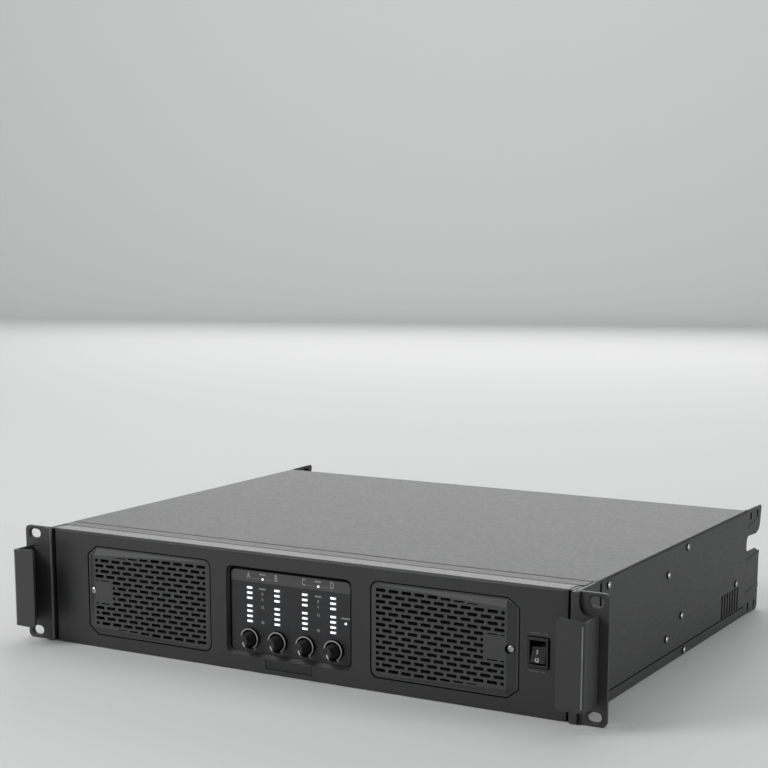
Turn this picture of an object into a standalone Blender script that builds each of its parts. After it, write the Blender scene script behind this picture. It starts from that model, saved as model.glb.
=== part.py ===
"""Two-unit rack power amplifier with four channels, as an assembly of separate parts.

Metres, +X to the right seen from the front, +Y to the rear, +Z up. The world origin is the middle
of the underside of the overall bounding box. Every part is parented to PANEL, an empty in the plane
of the front panel, so lengths along y below count backwards from that plane.
"""

import math

import bmesh
import bpy
from mathutils import Euler, Matrix

# Driving dimensions
RACK_WIDTH = 0.4826  # 19-inch panel
PANEL_HEIGHT = 0.0881  # two rack units, less the usual clearance
RACK_HOLE_SPAN = 0.4651
RACK_HOLE_PITCH = 0.0762
CHASSIS_HALF = 0.2195
REAR_REACH = 0.378  # from the panel to the tips of the rear brackets
HANDLE_REACH = 0.023
COVER_END = 0.342
GAP = 0.0003  # between parts that touch
SIDES = (("left", -1), ("right", 1))

# Sheet thicknesses
WALL = 0.002
SKIN = 0.0015

# Front
FASCIA_HALF = 0.2133
FASCIA_DEPTH = 0.0154
FASCIA_WALL = 0.003
SIDE_START = 0.0382  # where the side panels begin, behind the rack ears
TRAY_LIP = 0.0072
LAYOUT_SHIFT = -0.001  # the covers sit this far off the middle
COVER_INNER = 0.0677
COVER_LENGTH = 0.1115
COVER_Z = (0.0105, 0.0774)
WEDGE_RISE = 0.0032
WEDGE_LENGTH = 0.1043
WEDGE_END_Z = (0.0167, 0.0718)
SLOT_PITCH = (0.01017, 0.00402)
SLOT_SIZE = (0.00785, 0.0024)
SLOT_ROWS = 15
SLOT_FIELD = (0.0036, 0.1029)
BADGE_FIELD = ((0.0872, 0.1043), (0.0357, 0.0524))
COVER_SCREW = (0.1062, 0.0440)
NAME_PLATE_X = (-0.0208, 0.0183)
NAME_PLATE_Z = (0.0036, 0.0102)
FASCIA_END = 0.0075  # length of the slope at each end of the fascia
FASCIA_END_DROP = 0.0009

# Handles
HANDLE_Z = (0.0145, 0.0732)
HANDLE_INNER = 0.2150  # inner edge of the handle's base
HANDLE_LEG = 0.2350  # outer face of its leg
HANDLE_SHEET = 0.0022
GRIP_BEND = 0.0030

# Side panels
BRACKET_SLOTS = [(0.3525, 0.0818), (0.3685, 0.0818), (0.3525, 0.0062), (0.3665, 0.0062)]
LOUVRE_Y = [0.2885 + 0.0063 * slot for slot in range(7)]

# Control window, columns A to D
CHANNELS = "abcd"
WINDOW_X = (-0.0545, 0.0511)
WINDOW_Z = (0.0109, 0.0765)
WINDOW_SLOPE_X = 0.0019  # how far the window's side walls slope in over their depth
WINDOW_SLOPE_Z = (0.0031, -0.0009)  # and its sill and its upper wall
METER_X = [-0.03615 + 0.02333 * channel for channel in range(4)]
KNOB_X = [-0.0357 + 0.02343 * channel for channel in range(4)]
KNOB_Z = 0.0237
KNOB_REACH = 0.0077  # how far its face stands in front of the panel plane
METER_STEP = 0.00375
METER_Z = [0.0608 - METER_STEP * bar for bar in range(3)]
METER_Z += [0.0475 - METER_STEP * bar for bar in range(4)]
BAR_SIZE = (0.0050, 0.0018)
LAMPS = {"a": (-0.0249, 0.0679), "c": (0.0218, 0.0679), "d": (0.0442, 0.0439)}
SHAFT_RADIUS = 0.002
KNOB_REST = 150  # degrees clockwise from straight up, seen from the front

# Power switch
SWITCH = (0.1928, 0.0438)
SWITCH_HALF = (0.0074, 0.0101)
ROCKER_HALF = (0.0053, 0.0072)
ROCKER_TILT = math.radians(9)

# Inside and rear
FAN_X = 0.1235
FAN_Z = 0.044
FAN_SIZE = 0.080
BOARD_Y = (0.070, 0.320)
BOARD_Z = 0.0058
BOARD_THICK = 0.0016
REAR_PANEL = 0.3400
SIGNAL_X = [-0.195 + 0.035 * channel for channel in range(4)]
SPEAKER_X = [-0.040 + 0.045 * channel for channel in range(4)]
SOCKET_Z = 0.0265
INLET_X = 0.178
VENT_X = [-0.198 + 0.012 * slot for slot in range(34)]

for leftover in list(bpy.data.objects):
    bpy.data.objects.remove(leftover)


def new_collection(name):
    made = bpy.data.collections.new(name)
    bpy.context.scene.collection.children.link(made)
    return made


PARTS = new_collection("power_amplifier")
TOOLS = new_collection("cutters")
PANEL = bpy.data.objects.new("panel_plane", None)
PANEL.location.y = -(REAR_REACH - HANDLE_REACH) / 2
PARTS.objects.link(PANEL)

# Colour, roughness and metallic value of each finish
FINISHES = {
    "powder_coat": ((0.030, 0.030, 0.032), 0.55, 0.3),
    "fascia_plastic": ((0.022, 0.022, 0.024), 0.60, 0.0),
    "panel_print": ((0.016, 0.016, 0.018), 0.45, 0.0),
    "knob_plastic": ((0.020, 0.020, 0.021), 0.50, 0.0),
    "light_guide": ((0.90, 0.92, 0.95), 0.30, 0.0),
    "switch_plastic": ((0.010, 0.010, 0.011), 0.35, 0.0),
    "foam": ((0.012, 0.012, 0.012), 0.95, 0.0),
    "zinc_steel": ((0.62, 0.62, 0.60), 0.35, 1.0),
    "screw_steel": ((0.60, 0.60, 0.61), 0.30, 1.0),
    "aluminium": ((0.72, 0.72, 0.73), 0.40, 1.0),
    "circuit_board": ((0.02, 0.10, 0.05), 0.50, 0.0),
    "component": ((0.04, 0.04, 0.05), 0.40, 0.0),
    "fan_plastic": ((0.015, 0.015, 0.016), 0.50, 0.0),
    "socket_plastic": ((0.012, 0.012, 0.013), 0.40, 0.0),
}


def finish_material(part, finish):
    colour, roughness, metallic = FINISHES[finish]
    material = bpy.data.materials.new(part + "_" + finish)
    material.use_nodes = True
    shader = material.node_tree.nodes["Principled BSDF"]
    shader.inputs["Base Color"].default_value = (*colour, 1.0)
    shader.inputs["Roughness"].default_value = roughness
    shader.inputs["Metallic"].default_value = metallic
    return material


def place(name, mesh, location, finish, turn=(0, 0, 0)):
    """A named object under PANEL: a part where it has a finish, otherwise a boolean tool."""
    made = bpy.data.objects.new(name, mesh)
    made.parent = PANEL
    made.location = location
    made.rotation_euler = turn
    if finish:
        PARTS.objects.link(made)
        mesh.materials.append(finish_material(name, finish))
    else:
        TOOLS.objects.link(made)
        made.hide_render = True
        made.display_type = "WIRE"
    return made


def block(name, x, y, z, finish=None):
    """A box between the two values given for each axis."""
    shape = bmesh.new()
    bmesh.ops.create_cube(shape, size=1.0)
    bmesh.ops.scale(shape, vec=[high - low for low, high in (x, y, z)], verts=shape.verts)
    mesh = bpy.data.meshes.new(name)
    shape.to_mesh(mesh)
    shape.free()
    return place(name, mesh, [(low + high) / 2 for low, high in (x, y, z)], finish)


AXIS_TURN = {"Y": (-math.pi / 2, 0, 0), "Z": (0, 0, 0)}


def rod(name, centre, radius, span, axis="Y", finish=None, sides=24):
    """A round bar whose axis runs through centre, between the two values of span along axis."""
    shape = bmesh.new()
    bmesh.ops.create_cone(
        shape,
        cap_ends=True,
        segments=sides,
        radius1=radius,
        radius2=radius,
        depth=span[1] - span[0],
    )
    mesh = bpy.data.meshes.new(name)
    shape.to_mesh(mesh)
    shape.free()
    mesh.shade_smooth()
    mesh.set_sharp_from_angle(angle=math.radians(40))
    location = list(centre)
    location["XYZ".index(axis)] = (span[0] + span[1]) / 2
    return place(name, mesh, location, finish, AXIS_TURN[axis])


PLANE_TURN = {"XZ": (math.pi / 2, 0, 0), "YZ": (math.pi / 2, 0, math.pi / 2), "XY": (0, 0, 0)}
PLANE_AXIS = {"XZ": 1, "YZ": 0, "XY": 2}


def sheet(name, outlines, plane, span, finish=None):
    """A flat plate with the given outlines in a plane; the outlines inside another are holes.
    span is the plate's extent along the third axis."""
    curve = bpy.data.curves.new(name, "CURVE")
    curve.dimensions = "2D"
    curve.fill_mode = "BOTH"
    curve.extrude = (span[1] - span[0]) / 2
    for outline in outlines:
        spline = curve.splines.new("POLY")
        spline.points.add(len(outline) - 1)
        for point, (u, v) in zip(spline.points, outline):
            point.co = (u, v, 0, 1)
        spline.use_cyclic_u = True
    guide = bpy.data.objects.new(name + "_outline", curve)
    bpy.context.scene.collection.objects.link(guide)
    location = [0, 0, 0]
    location[PLANE_AXIS[plane]] = (span[0] + span[1]) / 2
    guide.parent = PANEL
    guide.location = location
    guide.rotation_euler = PLANE_TURN[plane]
    graph = bpy.context.evaluated_depsgraph_get()
    mesh = bpy.data.meshes.new_from_object(guide.evaluated_get(graph))
    where = guide.matrix_world.copy()
    bpy.data.objects.remove(guide)
    bpy.data.curves.remove(curve)
    shape = bmesh.new()
    shape.from_mesh(mesh)
    bmesh.ops.remove_doubles(shape, verts=shape.verts, dist=1e-6)
    bmesh.ops.recalc_face_normals(shape, faces=shape.faces)
    shape.to_mesh(mesh)
    shape.free()
    mesh.name = name
    mesh.materials.clear()
    made = place(name, mesh, location, finish)
    made.matrix_world = where
    return made


def turned(name, profile, centre, finish, sides=24):
    """A body of revolution about the y axis; profile is (radius, distance in front of centre)."""
    mesh = bpy.data.meshes.new(name)
    edges = [(index, index + 1) for index in range(len(profile) - 1)]
    mesh.from_pydata([(radius, 0, height) for radius, height in profile], edges, [])
    made = place(name, mesh, centre, finish, (math.pi / 2, 0, 0))
    screw = made.modifiers.new("turn", "SCREW")
    screw.steps = sides
    screw.render_steps = sides
    screw.use_merge_vertices = True
    screw.merge_threshold = 0.00001
    screw.use_smooth_shade = True
    return made


def combine(part, tool, operation):
    change = part.modifiers.new(tool.name, "BOOLEAN")
    change.operation = operation
    change.solver = "EXACT"
    change.object = tool


def cut(part, *tools):
    for tool in tools:
        combine(part, tool, "DIFFERENCE")


def weld(part, *tools):
    for tool in tools:
        combine(part, tool, "UNION")


def merged_tool(name, pieces):
    """One boolean tool made of several boxes that do not touch; each piece is its x, y and z span."""
    shape = bmesh.new()
    for x, y, z in pieces:
        corner = bmesh.ops.create_cube(shape, size=1.0)["verts"]
        bmesh.ops.scale(shape, vec=[high - low for low, high in (x, y, z)], verts=corner)
        bmesh.ops.translate(shape, vec=[(low + high) / 2 for low, high in (x, y, z)], verts=corner)
    mesh = bpy.data.meshes.new(name)
    shape.to_mesh(mesh)
    shape.free()
    return place(name, mesh, (0, 0, 0), None)


def tapered_tool(name, near, far, span):
    """A boolean tool whose outline changes from near to far along y; both have the same points."""
    shape = bmesh.new()
    rings = [[shape.verts.new((x, y, z)) for x, z in ring] for ring, y in zip((near, far), span)]
    for ring in rings:
        shape.faces.new(ring)
    for index in range(len(near)):
        after = (index + 1) % len(near)
        shape.faces.new([rings[0][index], rings[0][after], rings[1][after], rings[1][index]])
    bmesh.ops.recalc_face_normals(shape, faces=shape.faces)
    mesh = bpy.data.meshes.new(name)
    shape.to_mesh(mesh)
    shape.free()
    return place(name, mesh, (0, 0, 0), None)


def arc(centre, radius, start, end, steps=5):
    """Points on an arc, with its angles in degrees."""
    turns = [math.radians(start + (end - start) * step / steps) for step in range(steps + 1)]
    return [(centre[0] + radius * math.cos(t), centre[1] + radius * math.sin(t)) for t in turns]


def rounded(u, v, radius, steps=4):
    """A rectangle with round corners."""
    corners = ((u[1], v[0], -90), (u[1], v[1], 0), (u[0], v[1], 90), (u[0], v[0], 180))
    points = []
    for corner_u, corner_v, start in corners:
        centre_u = corner_u - math.copysign(radius, corner_u - sum(u) / 2)
        centre_v = corner_v - math.copysign(radius, corner_v - sum(v) / 2)
        points += arc((centre_u, centre_v), radius, start, start + 90, steps)
    return points


def oval(centre, length, height, steps=6):
    """A slot with round ends, lying along the first axis."""
    reach = (length - height) / 2
    right = arc((centre[0] + reach, centre[1]), height / 2, -90, 90, steps)
    left = arc((centre[0] - reach, centre[1]), height / 2, 90, 270, steps)
    return right + left


def rectangle(u, v):
    return [(u[0], v[0]), (u[1], v[0]), (u[1], v[1]), (u[0], v[1])]


def around(centre, half):
    """The span of half to each side of centre."""
    return (centre - half, centre + half)


def flipped(outline, side):
    """The outline as it is on the right, or mirrored on the left."""
    return [(side * u, v) for u, v in outline]


# Chassis


def board_spans():
    return {
        "amp_board_left": (-0.208, -0.075),
        "power_supply_board": (-0.068, 0.068),
        "amp_board_right": (0.075, 0.208),
    }


def make_base_tray():
    lip = CHASSIS_HALF - WALL
    profile = [
        (-CHASSIS_HALF, 0),
        (CHASSIS_HALF, 0),
        (CHASSIS_HALF, TRAY_LIP),
        (lip, TRAY_LIP),
        (lip, SKIN),
        (-lip, SKIN),
        (-lip, TRAY_LIP),
        (-CHASSIS_HALF, TRAY_LIP),
    ]
    tray = sheet("base_tray", [profile], "XZ", (SIDE_START, COVER_END), "powder_coat")
    front_edge = FASCIA_WALL + GAP
    weld(tray, block("tray_front", (-0.2142, 0.2142), (front_edge, SIDE_START + GAP), (0, SKIN)))
    posts = []
    for span in board_spans().values():
        for x in (span[0] + 0.006, span[1] - 0.006):
            for y in (BOARD_Y[0] + 0.006, BOARD_Y[1] - 0.006):
                spot = (around(x, 0.0025), around(y, 0.0025), (SKIN / 2, BOARD_Z - GAP))
                posts.append(spot)
    weld(tray, merged_tool("board_posts", posts))


def make_top_cover():
    half = CHASSIS_HALF - WALL - GAP
    flange = half - SKIN
    top = PANEL_HEIGHT - 0.0001
    under = top - SKIN
    profile = [
        (-half, 0.0762),
        (-flange, 0.0762),
        (-flange, under),
        (flange, under),
        (flange, 0.0762),
        (half, 0.0762),
        (half, top),
        (-half, top),
    ]
    sheet("top_cover", [profile], "XZ", (0.0308, COVER_END), "powder_coat")


def bracket_outline():
    """Side panel with its rear support bracket, seen from the side, as (y, z)."""
    tip = REAR_REACH
    points = [(SIDE_START, TRAY_LIP + GAP), (COVER_END + GAP, TRAY_LIP + GAP), (COVER_END + GAP, 0.0002)]
    points += arc((tip - 0.007, 0.0042), 0.004, -90, 0, 3)
    points += arc((tip - 0.006, 0.0475), 0.003, 0, 100, 4)
    points += [(0.3645, 0.0535)]
    points += arc((0.3485, 0.0560), 0.0030, 250, 180, 3)
    points += arc((0.3505, 0.0612), 0.0050, 180, 110, 3)
    points += [(0.3660, 0.0655)]
    points += arc((0.3660, 0.0755), 0.0100, -50, 0, 3)
    points += [(tip, PANEL_HEIGHT - 0.0021), (tip - 0.002, PANEL_HEIGHT - 0.0001)]
    points += [(SIDE_START, PANEL_HEIGHT - 0.0001)]
    return points


def make_side_panel(side_name, side):
    outlines = [bracket_outline()]
    outlines += [rectangle(around(y, 0.0009), around(z, 0.0028)) for y, z in BRACKET_SLOTS]
    outlines += [rectangle(around(y, 0.0009), (0.0085, 0.0275)) for y in LOUVRE_Y]
    outer = (CHASSIS_HALF - WALL, CHASSIS_HALF)
    span = outer if side > 0 else (-outer[1], -outer[0])
    sheet(side_name + "_side_panel", outlines, "YZ", span, "powder_coat")


def rear_holes():
    holes = [arc((x, SOCKET_Z), 0.0122, 0, 345, 23) for x in SIGNAL_X + SPEAKER_X]
    holes.append(arc((INLET_X, SOCKET_Z), 0.0152, 0, 345, 23))
    return holes


def make_rear_panel():
    outlines = [rectangle(around(0, 0.2155), (SKIN + GAP, 0.0862))]
    outlines += rear_holes()
    outlines += [rectangle(around(x, 0.0028), (0.0500, 0.0780)) for x in VENT_X]
    sheet("rear_panel", outlines, "XZ", (REAR_PANEL, REAR_PANEL + SKIN), "powder_coat")


def make_front_bulkhead():
    back = 0.0305
    front = FASCIA_DEPTH + 0.0005
    top = PANEL_HEIGHT - 0.0001
    bottom = SKIN + GAP
    profile = [
        (front, bottom),
        (back, bottom),
        (back, top),
        (front, top),
        (front, top - SKIN),
        (back - SKIN, top - SKIN),
        (back - SKIN, bottom + SKIN),
        (front, bottom + SKIN),
    ]
    wall = sheet("front_bulkhead", [profile], "YZ", around(0, 0.2169), "powder_coat")
    depth = (back - 0.003, back + 0.001)
    for side in (-1, 1):
        cut(wall, rod("fan_hole_" + str(side), (side * FAN_X, 0, FAN_Z), 0.038, depth, sides=32))
    openings = [((-0.040, 0.040), depth, (0.015, 0.075))]
    openings.append((around(SWITCH[0], 0.009), depth, around(SWITCH[1], 0.012)))
    cut(wall, merged_tool("bulkhead_windows", openings))


# Rack ears and handles


def make_rack_ear(side_name, side):
    leg = CHASSIS_HALF - WALL
    edge = RACK_WIDTH / 2
    corner = 0.0035
    inner = leg + 0.0004
    plate = [(inner, 0), (edge - corner, 0)]
    plate += arc((edge - corner, corner), corner, -90, 0, 4)
    plate += arc((edge - corner, PANEL_HEIGHT - corner), corner, 0, 90, 4)
    plate += [(inner, PANEL_HEIGHT)]
    middle = PANEL_HEIGHT / 2
    holes = [
        oval((RACK_HOLE_SPAN / 2, middle + step * RACK_HOLE_PITCH / 2), 0.0100, 0.0068) for step in (-1, 1)
    ]
    outlines = [flipped(outline, side) for outline in [plate] + holes]
    ear = sheet(side_name + "_rack_ear", outlines, "XZ", (0, 0.0025), "powder_coat")
    leg_x = sorted((side * leg, side * CHASSIS_HALF))
    leg_z = (0.0003, PANEL_HEIGHT - 0.0004)
    weld(ear, block(side_name + "_ear_leg", leg_x, (0.0006, SIDE_START - 0.0008), leg_z))


def make_handle(side_name, side):
    face = -GAP
    front = face - HANDLE_SHEET
    inner_edge = HANDLE_INNER + 0.0004
    outer_edge = HANDLE_LEG - 0.0005
    base_outline = [(inner_edge, 0.0003), (0.2215, 0.0003)]
    base_outline += [(0.2215, HANDLE_Z[0] - 0.006)]
    base_outline += arc((0.2295, HANDLE_Z[0] - 0.006), 0.008, 180, 90, 4)
    base_outline += [(outer_edge, HANDLE_Z[0] + 0.002), (outer_edge, HANDLE_Z[1] - 0.001)]
    base_outline += arc((0.2295, HANDLE_Z[1] + 0.007), 0.008, 270, 180, 4)
    base_outline += [(0.2215, PANEL_HEIGHT - 0.0003), (inner_edge, PANEL_HEIGHT - 0.0003)]
    handle = sheet(side_name + "_handle", [flipped(base_outline, side)], "XZ", (front, face), "powder_coat")
    leg_x = sorted((side * HANDLE_INNER, side * (HANDLE_INNER + HANDLE_SHEET)))
    leg_z = (0.0006, PANEL_HEIGHT - 0.0006)
    return_leg = block(side_name + "_handle_return", leg_x, (front + 0.0004, 0.0150), leg_z)
    outer = GRIP_BEND
    inner = GRIP_BEND - HANDLE_SHEET
    bend = (HANDLE_LEG - outer, -HANDLE_REACH + outer)
    strip = arc(bend, outer, 0, -90, 4)
    strip += [(HANDLE_INNER, -HANDLE_REACH), (HANDLE_INNER, -HANDLE_REACH + HANDLE_SHEET)]
    strip += arc(bend, inner, -90, 0, 4)
    strip += [(HANDLE_LEG - HANDLE_SHEET, face - 0.0005), (HANDLE_LEG, face - 0.0005)]
    grip = sheet(side_name + "_grip", [flipped(strip, side)], "XY", HANDLE_Z)
    trim = rounded((HANDLE_INNER, HANDLE_LEG + 0.020), HANDLE_Z, 0.0035)
    trim_tool = sheet(side_name + "_grip_trim", [flipped(trim, side)], "XZ", (-0.030, 0.005))
    combine(grip, trim_tool, "INTERSECT")
    weld(handle, return_leg, grip)


# Front panel


def cover_outline(grow):
    """Outline of a right-hand air cover, larger by grow all round, as (x, z) from its inner edge."""
    u = (-grow, COVER_LENGTH + grow)
    v = (COVER_Z[0] - grow, COVER_Z[1] + grow)
    radius = 0.0055 + grow
    points = arc((u[0] + radius, v[1] - radius), radius, 90, 180, 4)
    points += arc((u[0] + radius, v[0] + radius), radius, 180, 270, 4)
    points += [(u[1] - 0.0080, v[0]), (u[1], v[0] + 0.0062)]
    points += [(u[1], v[1] - 0.0062), (u[1] - 0.0080, v[1])]
    return points


def on_side(outline, side):
    """From the cover's own lengths to the panel's, on the right or on the left."""
    return [(LAYOUT_SHIFT + side * (COVER_INNER + u), v) for u, v in outline]


def make_fascia():
    wall = FASCIA_WALL
    top = PANEL_HEIGHT - 0.0001
    bottom = SKIN + GAP
    chamfer = 0.0016
    profile = [
        (0, 0.0002),
        (wall, 0.0002),
        (wall, bottom),
        (FASCIA_DEPTH, bottom),
        (FASCIA_DEPTH, bottom + WALL),
        (wall, bottom + WALL),
        (wall, top - 0.0025),
        (FASCIA_DEPTH, top - 0.0025),
        (FASCIA_DEPTH, top),
        (chamfer, top),
        (0, top - chamfer),
    ]
    fascia = sheet("front_fascia", [profile], "YZ", around(0, FASCIA_HALF), "fascia_plastic")
    for label, side in SIDES:
        pocket = sheet(label + "_pocket", [on_side(cover_outline(0.0028), side)], "XZ", (0.0020, 0.0120))
        hollow = sheet(label + "_hollow", [on_side(cover_outline(0.0005), side)], "XZ", (-0.0010, 0.0100))
        through = sheet(label + "_through", [on_side(cover_outline(-0.0040), side)], "XZ", (0.0095, 0.0130))
        weld(fascia, pocket)
        cut(fascia, hollow, through)
    window = rounded(WINDOW_X, WINDOW_Z, 0.005)
    inner_x = (WINDOW_X[0] + WINDOW_SLOPE_X, WINDOW_X[1] - WINDOW_SLOPE_X)
    inner_z = (WINDOW_Z[0] + WINDOW_SLOPE_Z[0], WINDOW_Z[1] + WINDOW_SLOPE_Z[1])
    cut(fascia, tapered_tool("window_cut", window, rounded(inner_x, inner_z, 0.004), (-0.0004, 0.0036)))
    recesses = [
        (NAME_PLATE_X, (-0.001, 0.0013), NAME_PLATE_Z),
        (around(SWITCH[0], 0.0067), (-0.001, 0.004), around(SWITCH[1], 0.0092)),
    ]
    cut(fascia, merged_tool("fascia_recesses", recesses))
    for side_name, side in SIDES:
        slope = [(FASCIA_HALF - FASCIA_END, -0.0002), (FASCIA_HALF + 0.001, FASCIA_END_DROP)]
        slope += [(FASCIA_HALF + 0.001, -0.002), (FASCIA_HALF - FASCIA_END, -0.002)]
        cut(fascia, sheet(side_name + "_end_slope", [flipped(slope, side)], "XY", (-0.001, 0.090)))


def make_name_plate():
    x = (NAME_PLATE_X[0] + GAP, NAME_PLATE_X[1] - GAP)
    z = (NAME_PLATE_Z[0] + GAP, NAME_PLATE_Z[1] - GAP)
    block("name_plate", x, (0.0003, 0.0010), z, "panel_print")


def slot_spans():
    """The x and z span of every air slot of a cover, from its inner edge outwards.
    The slots stop at the field's ends, at the face's sloping edges and at the plain badge field."""
    spans = []
    top_row = (sum(COVER_Z) + (SLOT_ROWS - 1) * SLOT_PITCH[1]) / 2
    for row in range(SLOT_ROWS):
        middle = top_row - row * SLOT_PITCH[1]
        start = SLOT_FIELD[0] - (row % 2) * SLOT_PITCH[0] / 2
        while start < SLOT_FIELD[1]:
            low = max(start, SLOT_FIELD[0])
            high = min(start + SLOT_SIZE[0], SLOT_FIELD[1])
            start += SLOT_PITCH[0]
            margin = 0.0010 + (COVER_Z[1] - WEDGE_END_Z[1]) * high / WEDGE_LENGTH
            bottom = max(middle - SLOT_SIZE[1] / 2, COVER_Z[0] + margin)
            top = min(middle + SLOT_SIZE[1] / 2, COVER_Z[1] - margin)
            if low < BADGE_FIELD[0][0] and BADGE_FIELD[1][0] < middle < BADGE_FIELD[1][1]:
                high = min(high, BADGE_FIELD[0][0])
            elif BADGE_FIELD[1][0] < middle < BADGE_FIELD[1][1]:
                if bottom < BADGE_FIELD[1][0]:
                    top = BADGE_FIELD[1][0]
                elif top > BADGE_FIELD[1][1]:
                    bottom = BADGE_FIELD[1][1]
                else:
                    continue
            if high - low > 0.0012 and top - bottom > 0.0006:
                spans.append(((low, high), (bottom, top)))
    return spans


def wedge_tool(name, side, inset, back):
    """The wedge that stands out of a cover: flush at the inner end, its walls sloping in outwards.
    inset shrinks it on all sides, for the hollow behind it."""
    shape = bmesh.new()
    bmesh.ops.create_cube(shape, size=1.0)
    foot = (0.0008 + inset, COVER_LENGTH - 0.0008 - inset)
    for corner in shape.verts:
        outer = corner.co.x > 0
        upper = corner.co.z > 0
        front = corner.co.y < 0
        u = foot[outer]
        y = back
        v = COVER_Z[1] - 0.0008 - inset if upper else COVER_Z[0] + 0.0008 + inset
        if front:
            y = 0.0004 + inset * 0.7
        if front and outer:
            u = WEDGE_LENGTH - inset
            y -= WEDGE_RISE + 0.0004
            v = WEDGE_END_Z[1] - inset * 0.7 if upper else WEDGE_END_Z[0] + inset * 0.7
        corner.co = (side * u, y, v)
    bmesh.ops.recalc_face_normals(shape, faces=shape.faces)
    mesh = bpy.data.meshes.new(name)
    shape.to_mesh(mesh)
    shape.free()
    return place(name, mesh, (cover_edge(side), 0, 0), None)


def cover_edge(side):
    """Where a cover's inner edge is, which is also its hinge."""
    return LAYOUT_SHIFT + side * COVER_INNER


def shift_x(part, distance):
    """Moves a plate sideways, so that it keeps its origin on the hinge."""
    part.location.x += distance
    return part


def make_air_cover(side_name, side):
    label = side_name + "_air_cover"
    cover = sheet(label, [flipped(cover_outline(0), side)], "XZ", (0.0, 0.0030), "fascia_plastic")
    shift_x(cover, cover_edge(side))
    wedge = wedge_tool(label + "_wedge", side, 0, 0.0020)
    trim = sheet(label + "_trim", [flipped(cover_outline(-0.0004), side)], "XZ", (-0.006, 0.0025))
    combine(wedge, shift_x(trim, cover_edge(side)), "INTERSECT")
    weld(cover, wedge)
    cut(cover, wedge_tool(label + "_hollow", side, 0.0016, 0.0045))
    outlines = [flipped(rectangle(u, v), side) for u, v in slot_spans()]
    slots = sheet(label + "_slots", outlines, "XZ", (-0.006, 0.0025))
    cut(cover, shift_x(slots, cover_edge(side)))
    screw_x = cover_edge(side) + side * COVER_SCREW[0]
    spot = (screw_x, 0, COVER_SCREW[1])
    cut(cover, rod(label + "_counterbore", spot, 0.0032, (-0.006, 0.0012), sides=16))
    cut(cover, rod(label + "_screw_hole", spot, 0.0019, (0, 0.0045), sides=12))
    make_foam(side_name, side)
    head = [(0, 0.0020), (0.0024, 0.0020), (0.0028, 0.0016), (0.0028, -0.0009), (0.0015, -0.0009)]
    head += [(0.0015, -0.0090), (0, -0.0090)]
    turned(side_name + "_cover_screw", head, spot, "screw_steel", 16)


def make_foam(side_name, side):
    x = sorted(cover_edge(side) + side * u for u in (0.0015, 0.1010))
    block(side_name + "_filter_foam", x, (0.0042, 0.0097), (0.0122, 0.0757), "foam")


# Controls


def make_control_panel():
    overlap = 0.0030  # behind the window's edge
    x = (WINDOW_X[0] - overlap, WINDOW_X[1] + overlap)
    z = (WINDOW_Z[0] - overlap, WINDOW_Z[1] + overlap)
    plate = [rectangle(x, z)]
    slot = (BAR_SIZE[0] / 2 + GAP, BAR_SIZE[1] / 2 + GAP)
    for meter in METER_X:
        plate += [rectangle(around(meter, slot[0]), around(bar, slot[1])) for bar in METER_Z]
    plate += [arc((knob, KNOB_Z), 0.0040, 0, 330, 11) for knob in KNOB_X]
    plate += [arc(spot, 0.0013, 0, 315, 7) for spot in LAMPS.values()]
    sheet("control_panel", plate, "XZ", (0.0033, 0.0053), "panel_print")
    x = (WINDOW_X[0] - overlap / 2, WINDOW_X[1] + overlap / 2)
    z = (WINDOW_Z[0] - overlap / 3, WINDOW_Z[1] + overlap / 3)
    block("control_board", x, (0.0105, 0.0105 + BOARD_THICK), z, "circuit_board")


def make_light_guide(channel):
    """Seven light bars on one runner; three of the guides also carry a round status lamp."""
    x = METER_X[channel]
    letter = CHANNELS[channel]
    low, high = METER_Z[-1] - 0.0020, METER_Z[0] + 0.0025
    runner_depth = (0.0056, 0.0071)
    guide = block("light_guide_" + letter, around(x, 0.0035), runner_depth, (low, high), "light_guide")
    bars = [(around(x, BAR_SIZE[0] / 2), (0.0036, 0.0060), around(z, BAR_SIZE[1] / 2)) for z in METER_Z]
    weld(guide, merged_tool("bars_" + letter, bars))
    if letter in LAMPS:
        lamp_x, lamp_z = LAMPS[letter]
        arm_z = (min(high, lamp_z) - 0.0020, lamp_z + 0.0015)
        weld(guide, block("lamp_arm_" + letter, (x, lamp_x + 0.0015), (0.0058, 0.0069), arm_z))
        weld(guide, rod("lamp_" + letter, (lamp_x, 0, lamp_z), 0.0010, (0.0036, 0.0062), sides=12))


def make_gain_control(channel):
    """A potentiometer on the control board, its shaft, and the knob on the shaft."""
    x = KNOB_X[channel]
    letter = CHANNELS[channel]
    spot = (x, 0, KNOB_Z)
    depth = (0.0067, 0.0102)
    pot = block("gain_pot_" + letter, around(x, 0.0048), depth, around(KNOB_Z, 0.0055), "component")
    weld(pot, rod("bushing_" + letter, spot, 0.0036, (0.0036, 0.0075), sides=16))
    cut(pot, rod("bushing_bore_" + letter, spot, SHAFT_RADIUS + GAP, (0.0030, 0.0095), sides=16))
    rod("gain_shaft_" + letter, spot, SHAFT_RADIUS, (-0.0012, 0.0092), finish="zinc_steel", sides=16)
    bore = SHAFT_RADIUS + GAP
    profile = [(0, KNOB_REACH), (0.0042, KNOB_REACH), (0.0046, KNOB_REACH - 0.0005)]
    profile += [(0.0050, -0.0030), (bore, -0.0030), (bore, 0.0015), (0, 0.0015)]
    knob = turned("gain_knob_" + letter, profile, spot, "knob_plastic", 18)
    mark = block("knob_mark_" + letter, around(x, 0.0005), (-0.0100, 0.0020 - KNOB_REACH), around(KNOB_Z, 0.0025))
    mark.data.transform(Matrix.Translation((0, 0, 0.0038)))
    mark.rotation_euler = (0, math.radians(KNOB_REST), 0)
    cut(knob, mark)


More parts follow.
